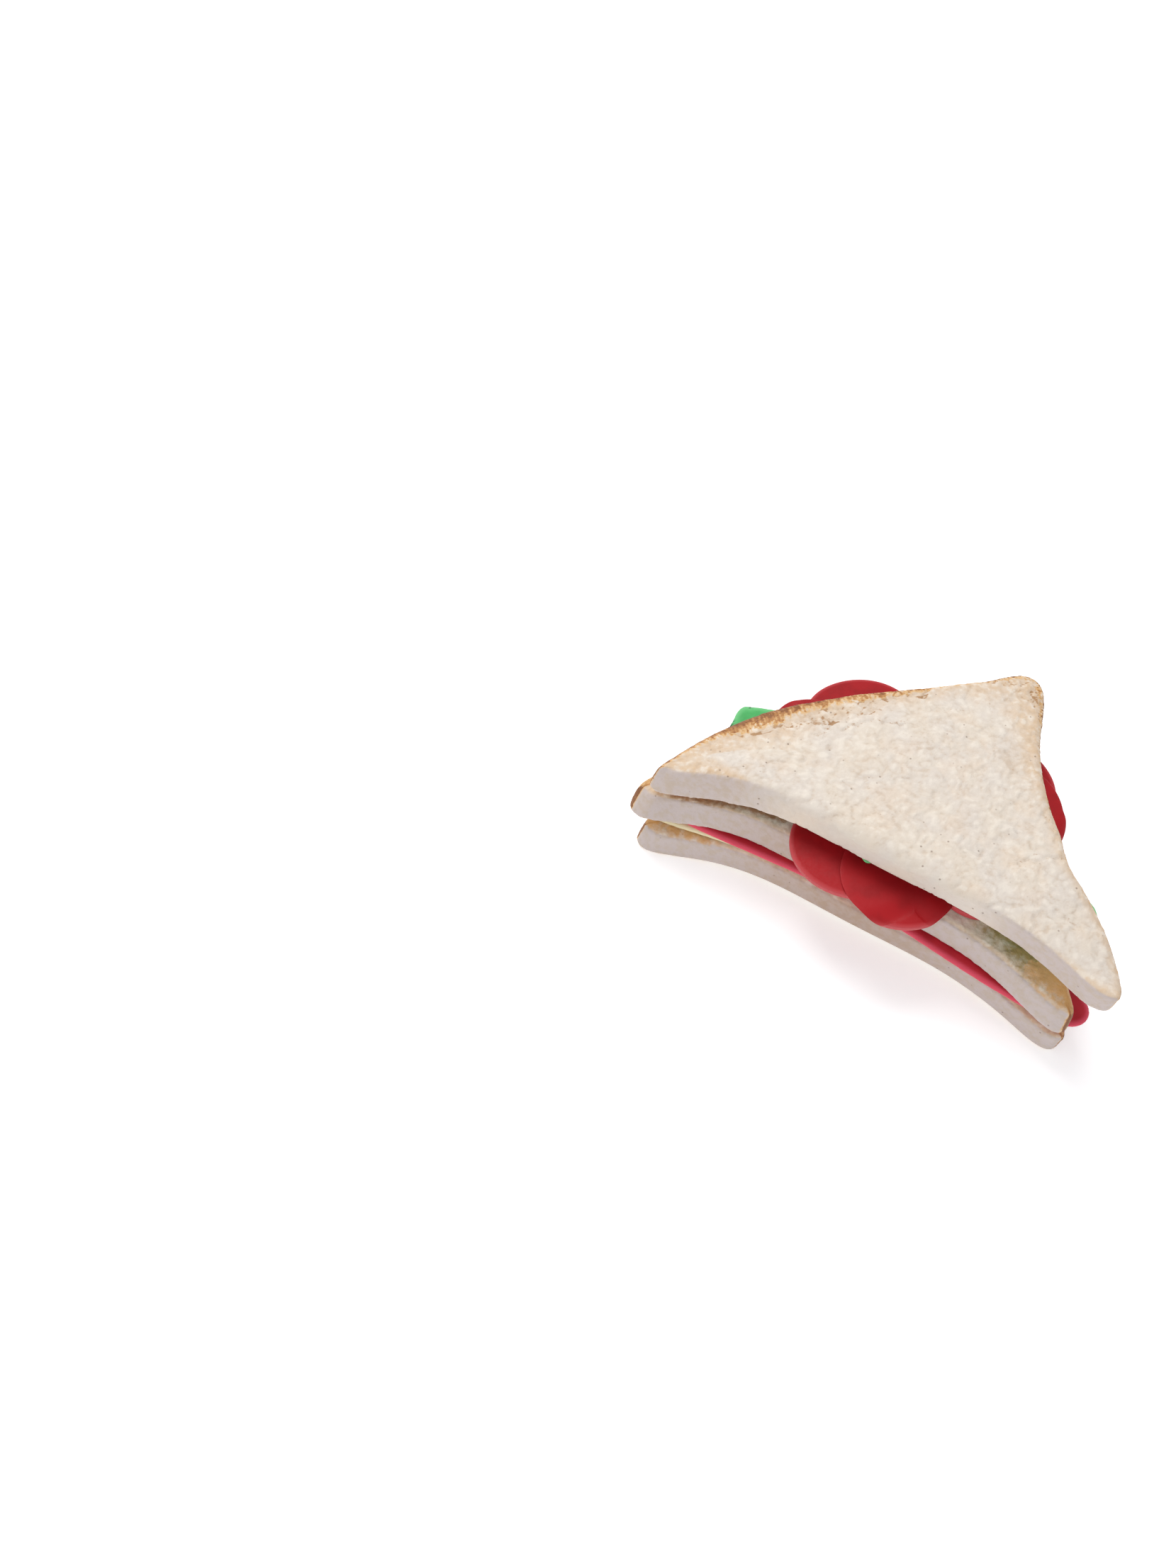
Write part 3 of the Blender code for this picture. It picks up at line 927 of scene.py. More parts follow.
class Airbrush(Enum):
    """How a crust is painted at stations of the plan.

    Each row is the station, the paint's reach in mm and strength, how far the skin is torn
    off in mm, below 0 where it is whole, and how far the haze reaches in mm.
    """

    SOFT = ((0.0, 3.0, 0.8, -6.0, 28.0), (0.08, 4.5, 1.0, -4.0, 30.0),
            (0.16, 6.5, 1.05, 2.0, 30.0), (0.22, 9.5, 1.3, 7.5, 28.0),
            (0.32, 10.0, 1.5, 11.0, 28.0), (0.45, 6.5, 1.1, 12.0, 18.0),
            (0.60, 6.0, 1.0, 9.5, 14.0), (0.72, 4.5, 0.9, 4.0, 11.0),
            (0.80, 3.0, 0.6, -2.0, 9.0), (0.93, 3.5, 0.5, 3.0, 20.0),
            (1.0, 5.0, 0.5, 6.0, 30.0), (1.08, 3.5, 0.4, 5.0, 28.0),
            (1.2, 2.5, 0.3, -3.0, 16.0), (1.32, 3.0, 0.35, 0.0, 14.0),
            (1.45, 2.0, 0.3, -6.0, 7.0), (2.0, 2.0, 0.25, -6.0, 5.0),
            (2.2, 2.0, 0.0, -9.0, 0.1), (2.8, 2.0, 0.0, -9.0, 0.1), (3.0, 2.5, 0.7, -6.0, 22.0))
    DARK = ((0.0, 14.0, 1.0, -6.0, 20.0), (0.3, 10.0, 1.0, 2.0, 20.0),
            (1.0, 10.0, 1.0, 3.0, 20.0), (1.6, 8.0, 1.0, -6.0, 12.0),
            (2.0, 10.0, 1.0, -6.0, 14.0), (2.12, 4.0, 0.6, -6.0, 6.0),
            (2.3, 2.0, 0.3, -9.0, 2.0), (2.85, 2.0, 0.3, -9.0, 4.0),
            (3.0, 14.0, 1.0, -6.0, 20.0))


@dataclass(frozen=True)
class PressedTips:
    """How a slice's tips were pressed out of shape, as x and y in mm.

    Attributes:
        left_low: Shift of the left tip's lower end.
        left_high: Shift of its upper end.
        right_low: Shift of the right tip's lower end.
        right_high: Shift of its upper end.
        start: How far from the slice's middle a tip starts.
        full: Where the shift is in full.
    """

    left_low: tuple[float, float] = (0.0, 0.0)
    left_high: tuple[float, float] = (0.0, 0.0)
    right_low: tuple[float, float] = (0.0, 0.0)
    right_high: tuple[float, float] = (0.0, 0.0)
    start: float = 48.0
    full: float = 78.0

    def shift(self, x: np.ndarray, height: np.ndarray) -> Rows:
        """Work out how far points of the plan are shifted.

        Args:
            x: Their places along X, in mm.
            height: Their heights, from 0 below to 1 above.

        Returns:
            Rows of the shift along X and Y, in mm.
        """
        share = through(np.abs(x), self.start, self.full)[:, None]
        low = np.where(x[:, None] < 0.0, self.left_low, self.right_low)
        high = np.where(x[:, None] < 0.0, self.left_high, self.right_high)
        return share * (low + (high - low) * height[:, None])


BREAD_SWELLS = ((5.9, 2.9, 0.3, 0.5), (-9.4, -2.3, 0.4), (-11.9, 0.7, -2.0))


@dataclass(frozen=True)
class BreadSlice:
    """Half of a tin-loaf slice, cut corner to corner.

    Attributes:
        node: Node of the frame that the slice stands for.
        level: Height of its underside at the corners, in mm.
        slip: How far it slid out of line, as x and y in mm and turn in degrees.
        lean: How far the cut wall leans back at its left and at its right tip, in mm.
        tips: How its tips were pressed.
        seed: Tells its skin from that of the others.
        airbrush: How its crust is painted.
        stains: Patches of paint on its upper face, one of them partly painted contact shadow.
        blisters: Bubbles in its upper face.
        folds: Folds in its upper face.
        worn: Radius in mm of the cut wall's upper rim at stations of the plan.
        wall_brown_and_shade: Brown tint and painted shade on the cut wall, darker and warmer
            towards its
        middle: where it is strongest and how far it reaches, along X in mm, and its strength.
        sag: How its left tip hangs down.
        sag_back: How far that moves it along X and Y, in mm for each mm down.
        flat_below: Whether it was moulded with a smooth underside.
        voxel: Grain of its mesh, in mm.
        thickness: Its height in mm.
        cut_radius: Radius of the cut wall's rims, in mm.
        crust_radius: Radius of the crust's rims, in mm.
        lean_over: Where along X the lean goes from the right one to the left one, in mm.
        lean_reach: How far the lean reaches from the cut wall, in mm.
        lean_margin: How far it fades out from the crust, in mm.
        tuck: How far the cut wall's foot is set back at its left tip and elsewhere, in mm.
        tuck_over: Where along X it goes from the one to the other, in mm.
        bare_from: How squarely the rim faces the cut where the crust's paint ends.
        plan: Its outline.
        relief: Its skin.
    """

    node: str
    level: float
    slip: tuple[float, float, float]
    lean: tuple[float, float]
    tips: PressedTips
    seed: float
    airbrush: Airbrush
    stains: tuple[Stain, ...] = ()
    blisters: tuple[Blister, ...] = ()
    folds: tuple[Fold, ...] = ()
    worn: tuple[tuple[float, float], ...] = ((2.0, 1.8), (3.0, 1.8))
    wall_brown_and_shade: tuple[float, float, float] = (0.0, 60.0, 0.0)
    sag: Sag = Sag(0.0)
    sag_back: tuple[float, float] = (-0.18, 0.30)
    flat_below: bool = False
    voxel: float = 0.56
    thickness: float = 11.4
    cut_radius: float = 1.8
    crust_radius: float = 3.2
    lean_over: tuple[float, float] = (30.0, -80.0)
    lean_reach: float = 25.0
    lean_margin: float = 6.0
    tuck: tuple[float, float] = (0.65, 0.65)
    tuck_over: tuple[float, float] = (-20.0, -58.0)
    bare_from: float = 0.4
    plan: RoundTriangle = RoundTriangle(
        ((-74.0, -34.6, 6.5), (16.0, 56.3, 10.0), (78.9, -36.0, 5.1)), BREAD_SWELLS)
    relief: CrumbRelief = CrumbRelief()

    def build(self, finish: bpy.types.Material) -> bpy.types.Object:
        """Cut the slice from a slab, press its crust round, give it its skin and lay it down.

        Args:
            finish: Material of the bread.

        Returns:
            The finished slice.
        """
        slab = cast_slab(self.node + "_foam", self.plan, self.thickness, self.cut_radius, 4,
                         self.voxel)
        self.shape_skin(slab)
        self.lay_down(slab)
        settle(slab, self.node, finish)
        return slab

    def shape_skin(self, slab: bpy.types.Object) -> None:
        """Press the crust's rims round, sink the skin's relief and note where paint goes.

        Args:
            slab: Flat slice on z = 0.
        """
        mesh = slab.data
        rows = vertex_rows(mesh) / MM
        depth, cut, bare, along, reach, strength, torn, haze, worn = self.rim_facts(rows).T
        half = self.thickness / 2
        rows[:, 2] -= half
        radius = np.where(rows[:, 2] > 0.0, worn, self.cut_radius)
        radius = self.crust_radius + (radius - self.crust_radius) * cut
        rows[:, 2] *= self.half_height(depth, radius) / self.half_height(depth, self.cut_radius)
        place_vertices(mesh, rows * MM)
        normals = vertex_rows(mesh, "normal")
        level = np.abs(normals[:, 2])
        face = through(level, 0.35, 0.85)
        below = (normals[:, 2] < -0.3) & self.flat_below
        sunk, crease, hollow = self.relief.at(rows, self.seed, torn - depth)
        upper = normals[:, 2] > 0.3
        for blister in self.blisters:
            sunk += blister.depth(rows) * upper
        for fold in self.folds:
            groove, brown = fold.over(rows, hollow)
            sunk += groove * upper
            crease = np.maximum(crease, brown * upper)
        worn = cut * eased((worn - self.cut_radius) / 2.5)
        calm = 0.35 * (1 - cut) + 0.2 * cut + 0.8 * worn
        sunk = sunk * face + (0.2 + (sunk - 0.45) * calm) * (1 - face)
        sunk = np.where(below, 0.0, np.maximum(sunk, 0.0))
        rows -= normals * sunk[:, None]
        rows[:, 2] += half
        place_vertices(mesh, rows * MM)
        crust = strength * (1 - eased(depth / reach)) * (1 - bare)
        wall = through(level, 0.75, 0.35) * (1 - bare) * eased(strength * 1.3)
        # The cut wall's brown tint and painted shade are strongest at its middle
        middle = 1 - eased(np.abs(rows[:, 0] - self.wall_brown_and_shade[0]) / self.wall_brown_and_shade[1])
        stain_and_shade, hue = self.stained(rows, normals)
        for name, values in {
                "cut": through(level, 0.86, 0.51) * bare * (1 - worn),
                "crust": np.maximum(crust, wall),
                "crease": crease * face * ~below,
                "hollow": 0.5 + (hollow - 0.5) * face,
                "haze": (1 - eased(depth / haze)) * eased(haze / 4.0),
                "brink": (1 - eased(depth / 1.5)) * eased(strength * 2) * (1 - bare),
                "wall_brown_and_shade": self.wall_brown_and_shade[2] * middle,
                "stain_and_shade": stain_and_shade,
                "hue": hue,
                "rim": np.column_stack((along, depth, np.zeros(len(rows))))}.items():
            store(mesh, name, values)

    def stained(self, rows: Rows, normals: Rows) -> tuple[np.ndarray, np.ndarray]:
        """Find how strongly the stains cover each point, and the hue of the strongest.

        Args:
            rows: Points of the flat slice in mm.
            normals: Which way the skin faces there.

        Returns:
            Cover from 0 to 1, and hue.
        """
        stain_and_shade, hue = np.zeros(len(rows)), np.zeros(len(rows))
        for patch in self.stains:
            over = patch.over(rows) * through(normals[:, 2], 0.15, 0.55)
            hue = np.where(over > stain_and_shade, patch.hue, hue)
            stain_and_shade = np.maximum(stain_and_shade, over)
        return stain_and_shade, hue

    def rim_facts(self, rows: Rows) -> Rows:
        """Find what the rim nearest to each point is like.

        Args:
            rows: Points of the flat slice in mm.

        Returns:
            Rows of the distance from the rim in mm, whether it has the shape of the cut
            (1) or of crust (0), and whether its paint, the way along it in mm, how far the
            airbrush reaches there in mm and how strongly, how far the skin is torn off and
            the haze reaches in mm, and the radius of the cut wall's upper rim in mm.
        """
        stations = self.plan.stations()
        table, worn = np.array(self.airbrush.value), np.array(self.worn)
        paint = [np.interp(stations[:, 2], table[:, 0], table[:, column])
                 for column in (1, 2, 3, 4)]
        paint.append(np.interp(stations[:, 2], worn[:, 0], worn[:, 1]))
        rim = refined(np.column_stack((stations[:, :2], *paint)), 12)
        facing = -loop_normals(rim[:, :2])[:, 1]
        cut, bare = eased((facing - 0.1) / 0.25), eased((facing - self.bare_from) / 0.3)
        along = np.cumsum(np.linalg.norm(rim[:, :2] - np.roll(rim[:, :2], 1, 0), axis=1))
        tree = tree_of(rim[:, :2])
        found = [tree.find((x, y, 0.0))[1:] for x, y in rows[:, :2]]
        nearest = np.array([index for index, _ in found])
        return np.column_stack(([away for _, away in found], cut[nearest], bare[nearest],
                                along[nearest], rim[nearest, 2:]))

    def half_height(self, depth: np.ndarray, radius: np.ndarray | float) -> np.ndarray:
        """Half the slice's height at a distance from its wall, for a rim of that radius."""
        inward = np.clip(radius - depth, 0.0, None)
        return self.thickness / 2 - radius + np.sqrt(np.maximum(radius ** 2 - inward ** 2, 0.0))

    def lay_down(self, slab: bpy.types.Object) -> None:
        """Lean the cut wall back, slide the slice out of line and bend it over the arch.

        Args:
            slab: Flat slice on z = 0.
        """
        rows = vertex_rows(slab.data) / MM
        loop = self.plan.stations()[:, :2]
        left_tip, right_tip = loop[:, 0].argmin(), loop[:, 0].argmax()
        fine = refined(np.roll(loop, -left_tip, 0), 6)
        turning = (right_tip - left_tip) * 6
        share = (eased(near_distances(rows, fine[:turning + 1]) / self.lean_margin)
                 * eased(1 - near_distances(rows, fine[turning:]) / self.lean_reach))
        height = rows[:, 2] / self.thickness
        leaning, tucked = (right + (left - right) * through(rows[:, 0], start, full)
                           for (left, right), (start, full) in (
                               (self.lean, self.lean_over), (self.tuck, self.tuck_over)))
        rows[:, :2] += self.tips.shift(rows[:, 0], height)
        rows[:, 1] += (leaning * height + tucked * (1 - height)) * share
        turn = math.radians(self.slip[2])
        x, y = rows[:, 0].copy(), rows[:, 1].copy()
        rows[:, 0] = x * math.cos(turn) - y * math.sin(turn) + self.slip[0]
        rows[:, 1] = x * math.sin(turn) + y * math.cos(turn) + self.slip[1]
        sag = self.sag.at(rows[:, 0])
        rows[:, 2] += self.level + ARCH.at(rows[:, 0], rows[:, 1]) - sag
        rows[:, :2] += np.outer(sag, self.sag_back) - STACK_MIDDLE
        place_vertices(slab.data, rows * MM)


# --- fillings -------------------------------------------------------------------------
@dataclass(frozen=True)
class VinylSheet:
    """Ham or cheese: a thick soft sheet with rounded rims.

    Attributes:
        node: Node of the frame that the sheet stands for.
        slot: Its material slot; not used.
        plan: Outline of the sheet.
        level: Height of its underside at the corners, in mm.
        thickness: Its height in mm.
        rim_radius: Radius of its rims, in mm.
        rim_reach: How far the rim's lighter colour fades inwards, in mm.
        voxel: Grain of its mesh, in mm.
    """

    node: str
    slot: str
    plan: RoundTriangle
    level: float
    thickness: float = 2.4
    rim_radius: float = 0.9
    rim_reach: float = 1.5
    voxel: float = 0.6

    def build(self, finish: bpy.types.Material) -> bpy.types.Object:
        """Cut the sheet from a slab, round its rims and lay it on the bread.

        Args:
            finish: Material of the sheet.

        Returns:
            The finished sheet.
        """
        slab = cast_slab(self.node + "_vinyl", self.plan, self.thickness, self.rim_radius, 3,
                         self.voxel)
        outline = refined(self.plan.stations(), 12)[:, :2]
        away = near_distances(vertex_rows(slab.data) / MM, outline)
        # Lighter colour towards the rim; on the ham this is painted light, its lit side
        store(slab.data, "rim", 1.0 - eased((away - self.rim_reach / 2) / self.rim_reach))
        bend_to_place(slab, lambda x, y: np.full(len(x), self.level))
        settle(slab, self.node, finish)
        return slab


@dataclass(frozen=True)
class TomatoSlice:
    """Lobed disc with a rounded rim.

    Attributes:
        node: Node of the frame that the slice stands for.
        x: Middle in the plan, in mm.
        y: Middle in the plan, in mm.
        radius: Mean radius, in mm.
        on: Slices that this one lies on.
        hollow: Whether its rim is thinned from below, which keeps its upper face full.
        level: Height of its underside at the corners, in mm.
        thickness: Its height in mm.
        lobe: Height of its three lobes as a share of the radius.
        air: Gap in mm to the slice that it lies on.
        hold: How far in mm it holds its height past the rim of that slice.
        drape: Over how many mm it comes down after that.
        rim_radius: Radius of its rims, in mm.
        taper: How much thinner its rim is, in mm.
        taper_reach: How far that fades inwards, in mm.
        pressed: How much thinner it is where it lies on another slice, in mm.
        ring: Distance between the rings of its mesh, in mm.
        points: Points round its rim.
    """

    node: str
    x: float
    y: float
    radius: float
    on: tuple["TomatoSlice", ...] = ()
    hollow: bool = False
    level: float = 29.0
    thickness: float = 3.1
    lobe: float = 0.025
    air: float = 0.35
    hold: float = 3.5
    drape: float = 7.0
    rim_radius: float = 0.5
    taper: float = 0.6
    taper_reach: float = 2.5
    pressed: float = 2.8
    ring: float = 1.1
    points: int = 144

    def lift(self, x: np.ndarray, y: np.ndarray) -> np.ndarray:
        """Work out where the slice lies on others and sags past them.

        Args:
            x: Places along X, in mm.
            y: Places along Y, in mm.

        Returns:
            Height of its underside in mm, the arch not included.
        """
        free = np.ones(len(x))
        for below in self.on:
            past = np.hypot(x - below.x, y - below.y) - below.radius * (1 + below.lobe)
            free *= eased((past - self.hold) / self.drape)
        return self.level + (self.thickness + self.air) * (1.0 - free)

    def reach(self, angles: np.ndarray) -> np.ndarray:
        """Radius of the lobed outline at angles in the plan, in mm."""
        return self.radius * (1 + self.lobe * np.cos(3 * angles + self.radius))

    def build(self, finish: bpy.types.Material) -> bpy.types.Object:
        """Make the disc, thin it towards its rim, and drape it.

        Args:
            finish: Material of the tomato.

        Returns:
            The finished slice.
        """
        angles = -np.arange(self.points) * math.tau / self.points
        points = (self.x, self.y) + self.reach(angles)[:, None] * np.stack(
            (np.cos(angles), np.sin(angles)), 1)
        slab = slab_of(self.node + "_vinyl", points, self.thickness)
        round_rims(slab, self.rim_radius, 3)
        self.ring_faces(slab)
        rows = vertex_rows(slab.data) / MM
        x, y = rows[:, 0] - self.x, rows[:, 1] - self.y
        inside = self.reach(np.arctan2(y, x)) - np.hypot(x, y)
        lifted = (self.lift(rows[:, 0], rows[:, 1]) - self.level) / (self.thickness + self.air)
        if self.hollow:
            thinned = self.taper * (1 - eased(inside / self.taper_reach))
            rows[:, 2] = self.thickness - (self.thickness - rows[:, 2]) * (
                1 - thinned / self.thickness)
        else:
            rows[:, 2] *= 1 - self.pressed * lifted / self.thickness
        place_vertices(slab.data, rows * MM)
        # Lighter rim colour: a painted highlight along the slice's rim, left out where it lies on
        # another slice
        store(slab.data, "rim", (1.0 - eased((inside - 0.2) / 0.8))
              * (1 - 0.9 * eased(lifted * 1.5)))
        bend_to_place(slab, self.lift)
        settle(slab, self.node, finish)
        return slab

    def ring_faces(self, slab: bpy.types.Object) -> None:
        """Extrude the two round faces inwards ring by ring, so that they can bend.

        Args:
            slab: Disc with one large face above and one below.
        """
        select_only(slab)
        for face in slab.data.polygons:
            face.select = len(face.vertices) > 8
        bpy.ops.object.mode_set(mode="EDIT")
        bpy.ops.mesh.select_mode(type="FACE")
        size = self.radius - self.rim_radius
        while size > 2 * self.ring:
            share = (size - self.ring) / size
            bpy.ops.mesh.extrude_region_move()
            bpy.ops.transform.resize(value=(share, share, 1.0),
                                     center_override=(self.x * MM, self.y * MM, 0.0))
            size -= self.ring
        bpy.ops.mesh.poke()
        bpy.ops.object.mode_set(mode="OBJECT")


@dataclass(frozen=True)
class LettuceLeaf:
    """Thin scalloped leaf that hugs the top slice, with lobes that hang out of the bread.

    Attributes:
        over: Tomato slices under it.
        node: Node of the frame that the leaf stands for.
        plan: Its outline, before scallops and lobes.
        lobes: Where the leaf reaches out, as x, y, push and breadth in mm.
        level: Highest level of its underside at the corners, in mm.
        sag: How its left tip hangs down.
        tomato_level: Level of the tomato slices' underside, in mm.
        thickness: Its height in mm.
        air: Gap in mm to the tomato below.
        scallop_depth: Half the height of its scallops, in mm.
        scallop_length: Length of a scallop, in mm.
        ruffle_length: Length of its ruffles along X, in mm.
        ruffle_limit: Their greatest height, in mm.
        ruffle_bend: How far they wander, as an angle in radians.
        ruffle_bend_length: Length of that wandering along Y, in mm.
        cross_length: Length of the waves that cross the ruffles, in mm.
        cross_slant: Slant of those waves.
        calm: How far from a lobe's middle the ruffles are calmer, in mm.
        spacing: Distance between the lines of its net, in mm.
        rim_radius: Radius of its rims, in mm.
    """

    over: tuple[TomatoSlice, ...]
    node: str = "lettuce"
    plan: RoundTriangle = RoundTriangle(
        corners=((-60.0, -15.0, 6.0), (13.0, 49.0, 7.0), (62.0, -21.0, 7.0)),
        swells=((2.0, 3.0), (-8.0, -1.0), (-4.0, 0.0)), step=2.8)
    lobes: tuple[tuple[float, float, float, float], ...] = (
        (-59.0, 3.4, 17.7, 12.4), (63.8, -7.6, 14.2, 7.1), (-3.2, -23.5, 8.7, 8.2))
    level: float = 36.10
    sag: Sag = Sag()
    tomato_level: float = 29.0
    thickness: float = 0.9
    air: float = 0.35
    scallop_depth: float = 0.9
    scallop_length: float = 12.0
    ruffle_length: float = 13.0
    ruffle_limit: float = 3.0
    ruffle_bend: float = 2.2
    ruffle_bend_length: float = 41.0
    cross_length: float = 22.0
    cross_slant: float = 0.35
    calm: float = 20.0
    spacing: float = 1.5
    rim_radius: float = 0.3

    def outline(self) -> Rows:
        """Push the plan's points out in scallops and lobes.

        Returns:
            Closed outline in mm.
        """
        loop = self.plan.stations()[:, :2]
        lengths = np.linalg.norm(loop - np.roll(loop, 1, 0), axis=1)
        scallops = round(lengths.sum() / self.scallop_length)
        gone = np.cumsum(lengths) / lengths.sum()
        push = self.scallop_depth * np.sin(math.tau * scallops * gone)
        for x, y, height, breadth in self.lobes:
            away = np.hypot(loop[:, 0] - x, loop[:, 1] - y) / breadth
            push += height * np.exp(-away * away)
        return refined(loop + loop_normals(loop) * push[:, None], 4)

    def underside(self, x: np.ndarray, y: np.ndarray) -> np.ndarray:
        """Ruffle the leaf in the room between the tomato and the top slice.

        Args:
            x: Places along X, in mm.
            y: Places along Y, in mm.

        Returns:
            Height of its underside in mm, the arch not included.
        """
        top = np.zeros(len(x))
        for tomato in self.over:
            past = np.hypot(x - tomato.x, y - tomato.y) - tomato.radius * (1 + tomato.lobe)
            cover = 1.0 - eased((past - 1.0) / 6.0)
            lift = tomato.lift(x, y) - tomato.level
            top = np.maximum(top, (lift + tomato.thickness) * cover)
        highest = self.level - self.sag.at(x)
        room = highest - (self.tomato_level + top + self.air)
        depth = np.clip(room, 0.0, self.ruffle_limit)
        bend = self.ruffle_bend * np.sin(math.tau * y / self.ruffle_bend_length)
        wave = np.sin(math.tau * x / self.ruffle_length + bend)
        wave *= np.cos(math.tau * (y + self.cross_slant * x) / self.cross_length)
        for lobe_x, lobe_y, _, _ in self.lobes:
            wave *= 1 - 0.8 * np.exp(-((x - lobe_x) ** 2 + (y - lobe_y) ** 2) / self.calm ** 2)
        return highest - depth * (0.5 - 0.5 * wave)

    def build(self, finish: bpy.types.Material) -> bpy.types.Object:
        """Fill the outline, net it, ruffle it and give it its thickness.

        Args:
            finish: Material of the leaf.

        Returns:
            The finished leaf.
        """
        points = self.outline()
        leaf = face_of(self.node + "_vinyl", points)
        self.net(leaf, points)
        bend_to_place(leaf, self.underside)
        apply_modifier(leaf, "SOLIDIFY", thickness=self.thickness * MM, offset=1.0)
        round_rims(leaf, self.rim_radius, 2)
        away = near_distances(vertex_rows(leaf.data) / MM, points - STACK_MIDDLE)
        store(leaf.data, "rim", 1.0 - eased(away / 2.5))
        settle(leaf, self.node, finish)
        return leaf

    def net(self, leaf: bpy.types.Object, points: Rows) -> None:
        """Cut the flat leaf along evenly spaced lines both ways, so that it can bend.

        Args:
            leaf: One large face on z = 0, which ends up facing upwards.
            points: Its outline in mm.
        """
        select_only(leaf)
        bpy.ops.object.mode_set(mode="EDIT")
        for axis, across in enumerate(((1.0, 0.0, 0.0), (0.0, 1.0, 0.0))):
            low, high = points[:, axis].min(), points[:, axis].max()
            for line in np.arange(low + self.spacing / 2, high, self.spacing):
                bpy.ops.mesh.select_all(action="SELECT")
                bpy.ops.mesh.bisect(plane_co=[part * line * MM for part in across],
                                    plane_no=across, threshold=0.02 * MM)
        bpy.ops.mesh.select_all(action="SELECT")
        bpy.ops.mesh.remove_doubles(threshold=0.02 * MM)
        bpy.ops.object.mode_set(mode="OBJECT")
        if leaf.data.polygons[0].normal.z < 0.0:
            leaf.data.flip_normals()


# --- studio ---------------------------------------------------------------------------
@dataclass(frozen=True)
class Studio:
    """White board under a broad soft light, seen from the photograph's place.

    Attributes:
        eye: Place of the camera in m.
        pitch: Its tilt from straight down, in degrees.
        turn: Its turn to the left, in degrees.
        lens: Focal length in mm for a frame whose long side is 36 mm.
        board: Side of the white board, in m.
    """

    eye: tuple[float, float, float] = (0.014902, -0.245488, 0.38502)
    pitch: float = 32.0
    turn: float = 31.0
    lens: float = 36 * 1661 / 2212
    board: float = 12.0

    def build(self) -> None:
        """Set up the camera, the board, the lights and the sky."""
        scene = bpy.context.scene
        scene.view_settings.view_transform = "Standard"
        bpy.ops.object.camera_add(location=self.eye, rotation=(
            math.radians(self.pitch), 0.0, math.radians(self.turn)))
        scene.camera = bpy.context.object
        scene.camera.data.lens = self.lens
        scene.camera.data.clip_start = 0.01
        self.lay_board()
        self.light("overhead_softbox", (-0.45, 0.35, 0.95), 0.55, 7.2)
        self.light("front_softbox", (-0.05, -0.95, 0.60), 0.8, 2.2)
        world = bpy.data.worlds.new("white_room")
        world.use_nodes = True
        sky = world.node_tree.nodes["Background"]
        sky.inputs["Color"].default_value = linear("#FBFBFF")
        sky.inputs["Strength"].default_value = 0.60
        scene.world = world

    def lay_board(self) -> None:
        """Lay a white board that everything stands on."""
        bpy.ops.object.select_all(action="DESELECT")
        bpy.ops.mesh.primitive_plane_add(size=self.board, location=(0.0, 0.0, 0.0))
        board = bpy.context.object
        board.name = "white_board"
        nodes = Nodes("melamine_board_matt_white")
        nodes.feed(nodes.shader, {"Base Color": linear("#F7F7F7"), "Roughness": 0.9,
                                  "Emission Color": linear("#FFFFFF"),
                                  "Emission Strength": 0.32})
        board.data.materials.append(nodes.material)
        board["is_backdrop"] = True

    def light(self, name: str, place: tuple[float, float, float], size: float,
              power: float) -> None:
        """Hang a square softbox that faces the sandwich.

        Args:
            name: Name of the light.
            place: Where it hangs, in m.
            size: Side of the square, in m.
            power: Power in W.
        """
        aim = (-Vector(place)).to_track_quat("-Z", "Y").to_euler()
        bpy.ops.object.light_add(type="AREA", location=place, rotation=aim)
        lamp = bpy.context.object
        lamp.name = name
        lamp.data.size = size
        lamp.data.energy = power


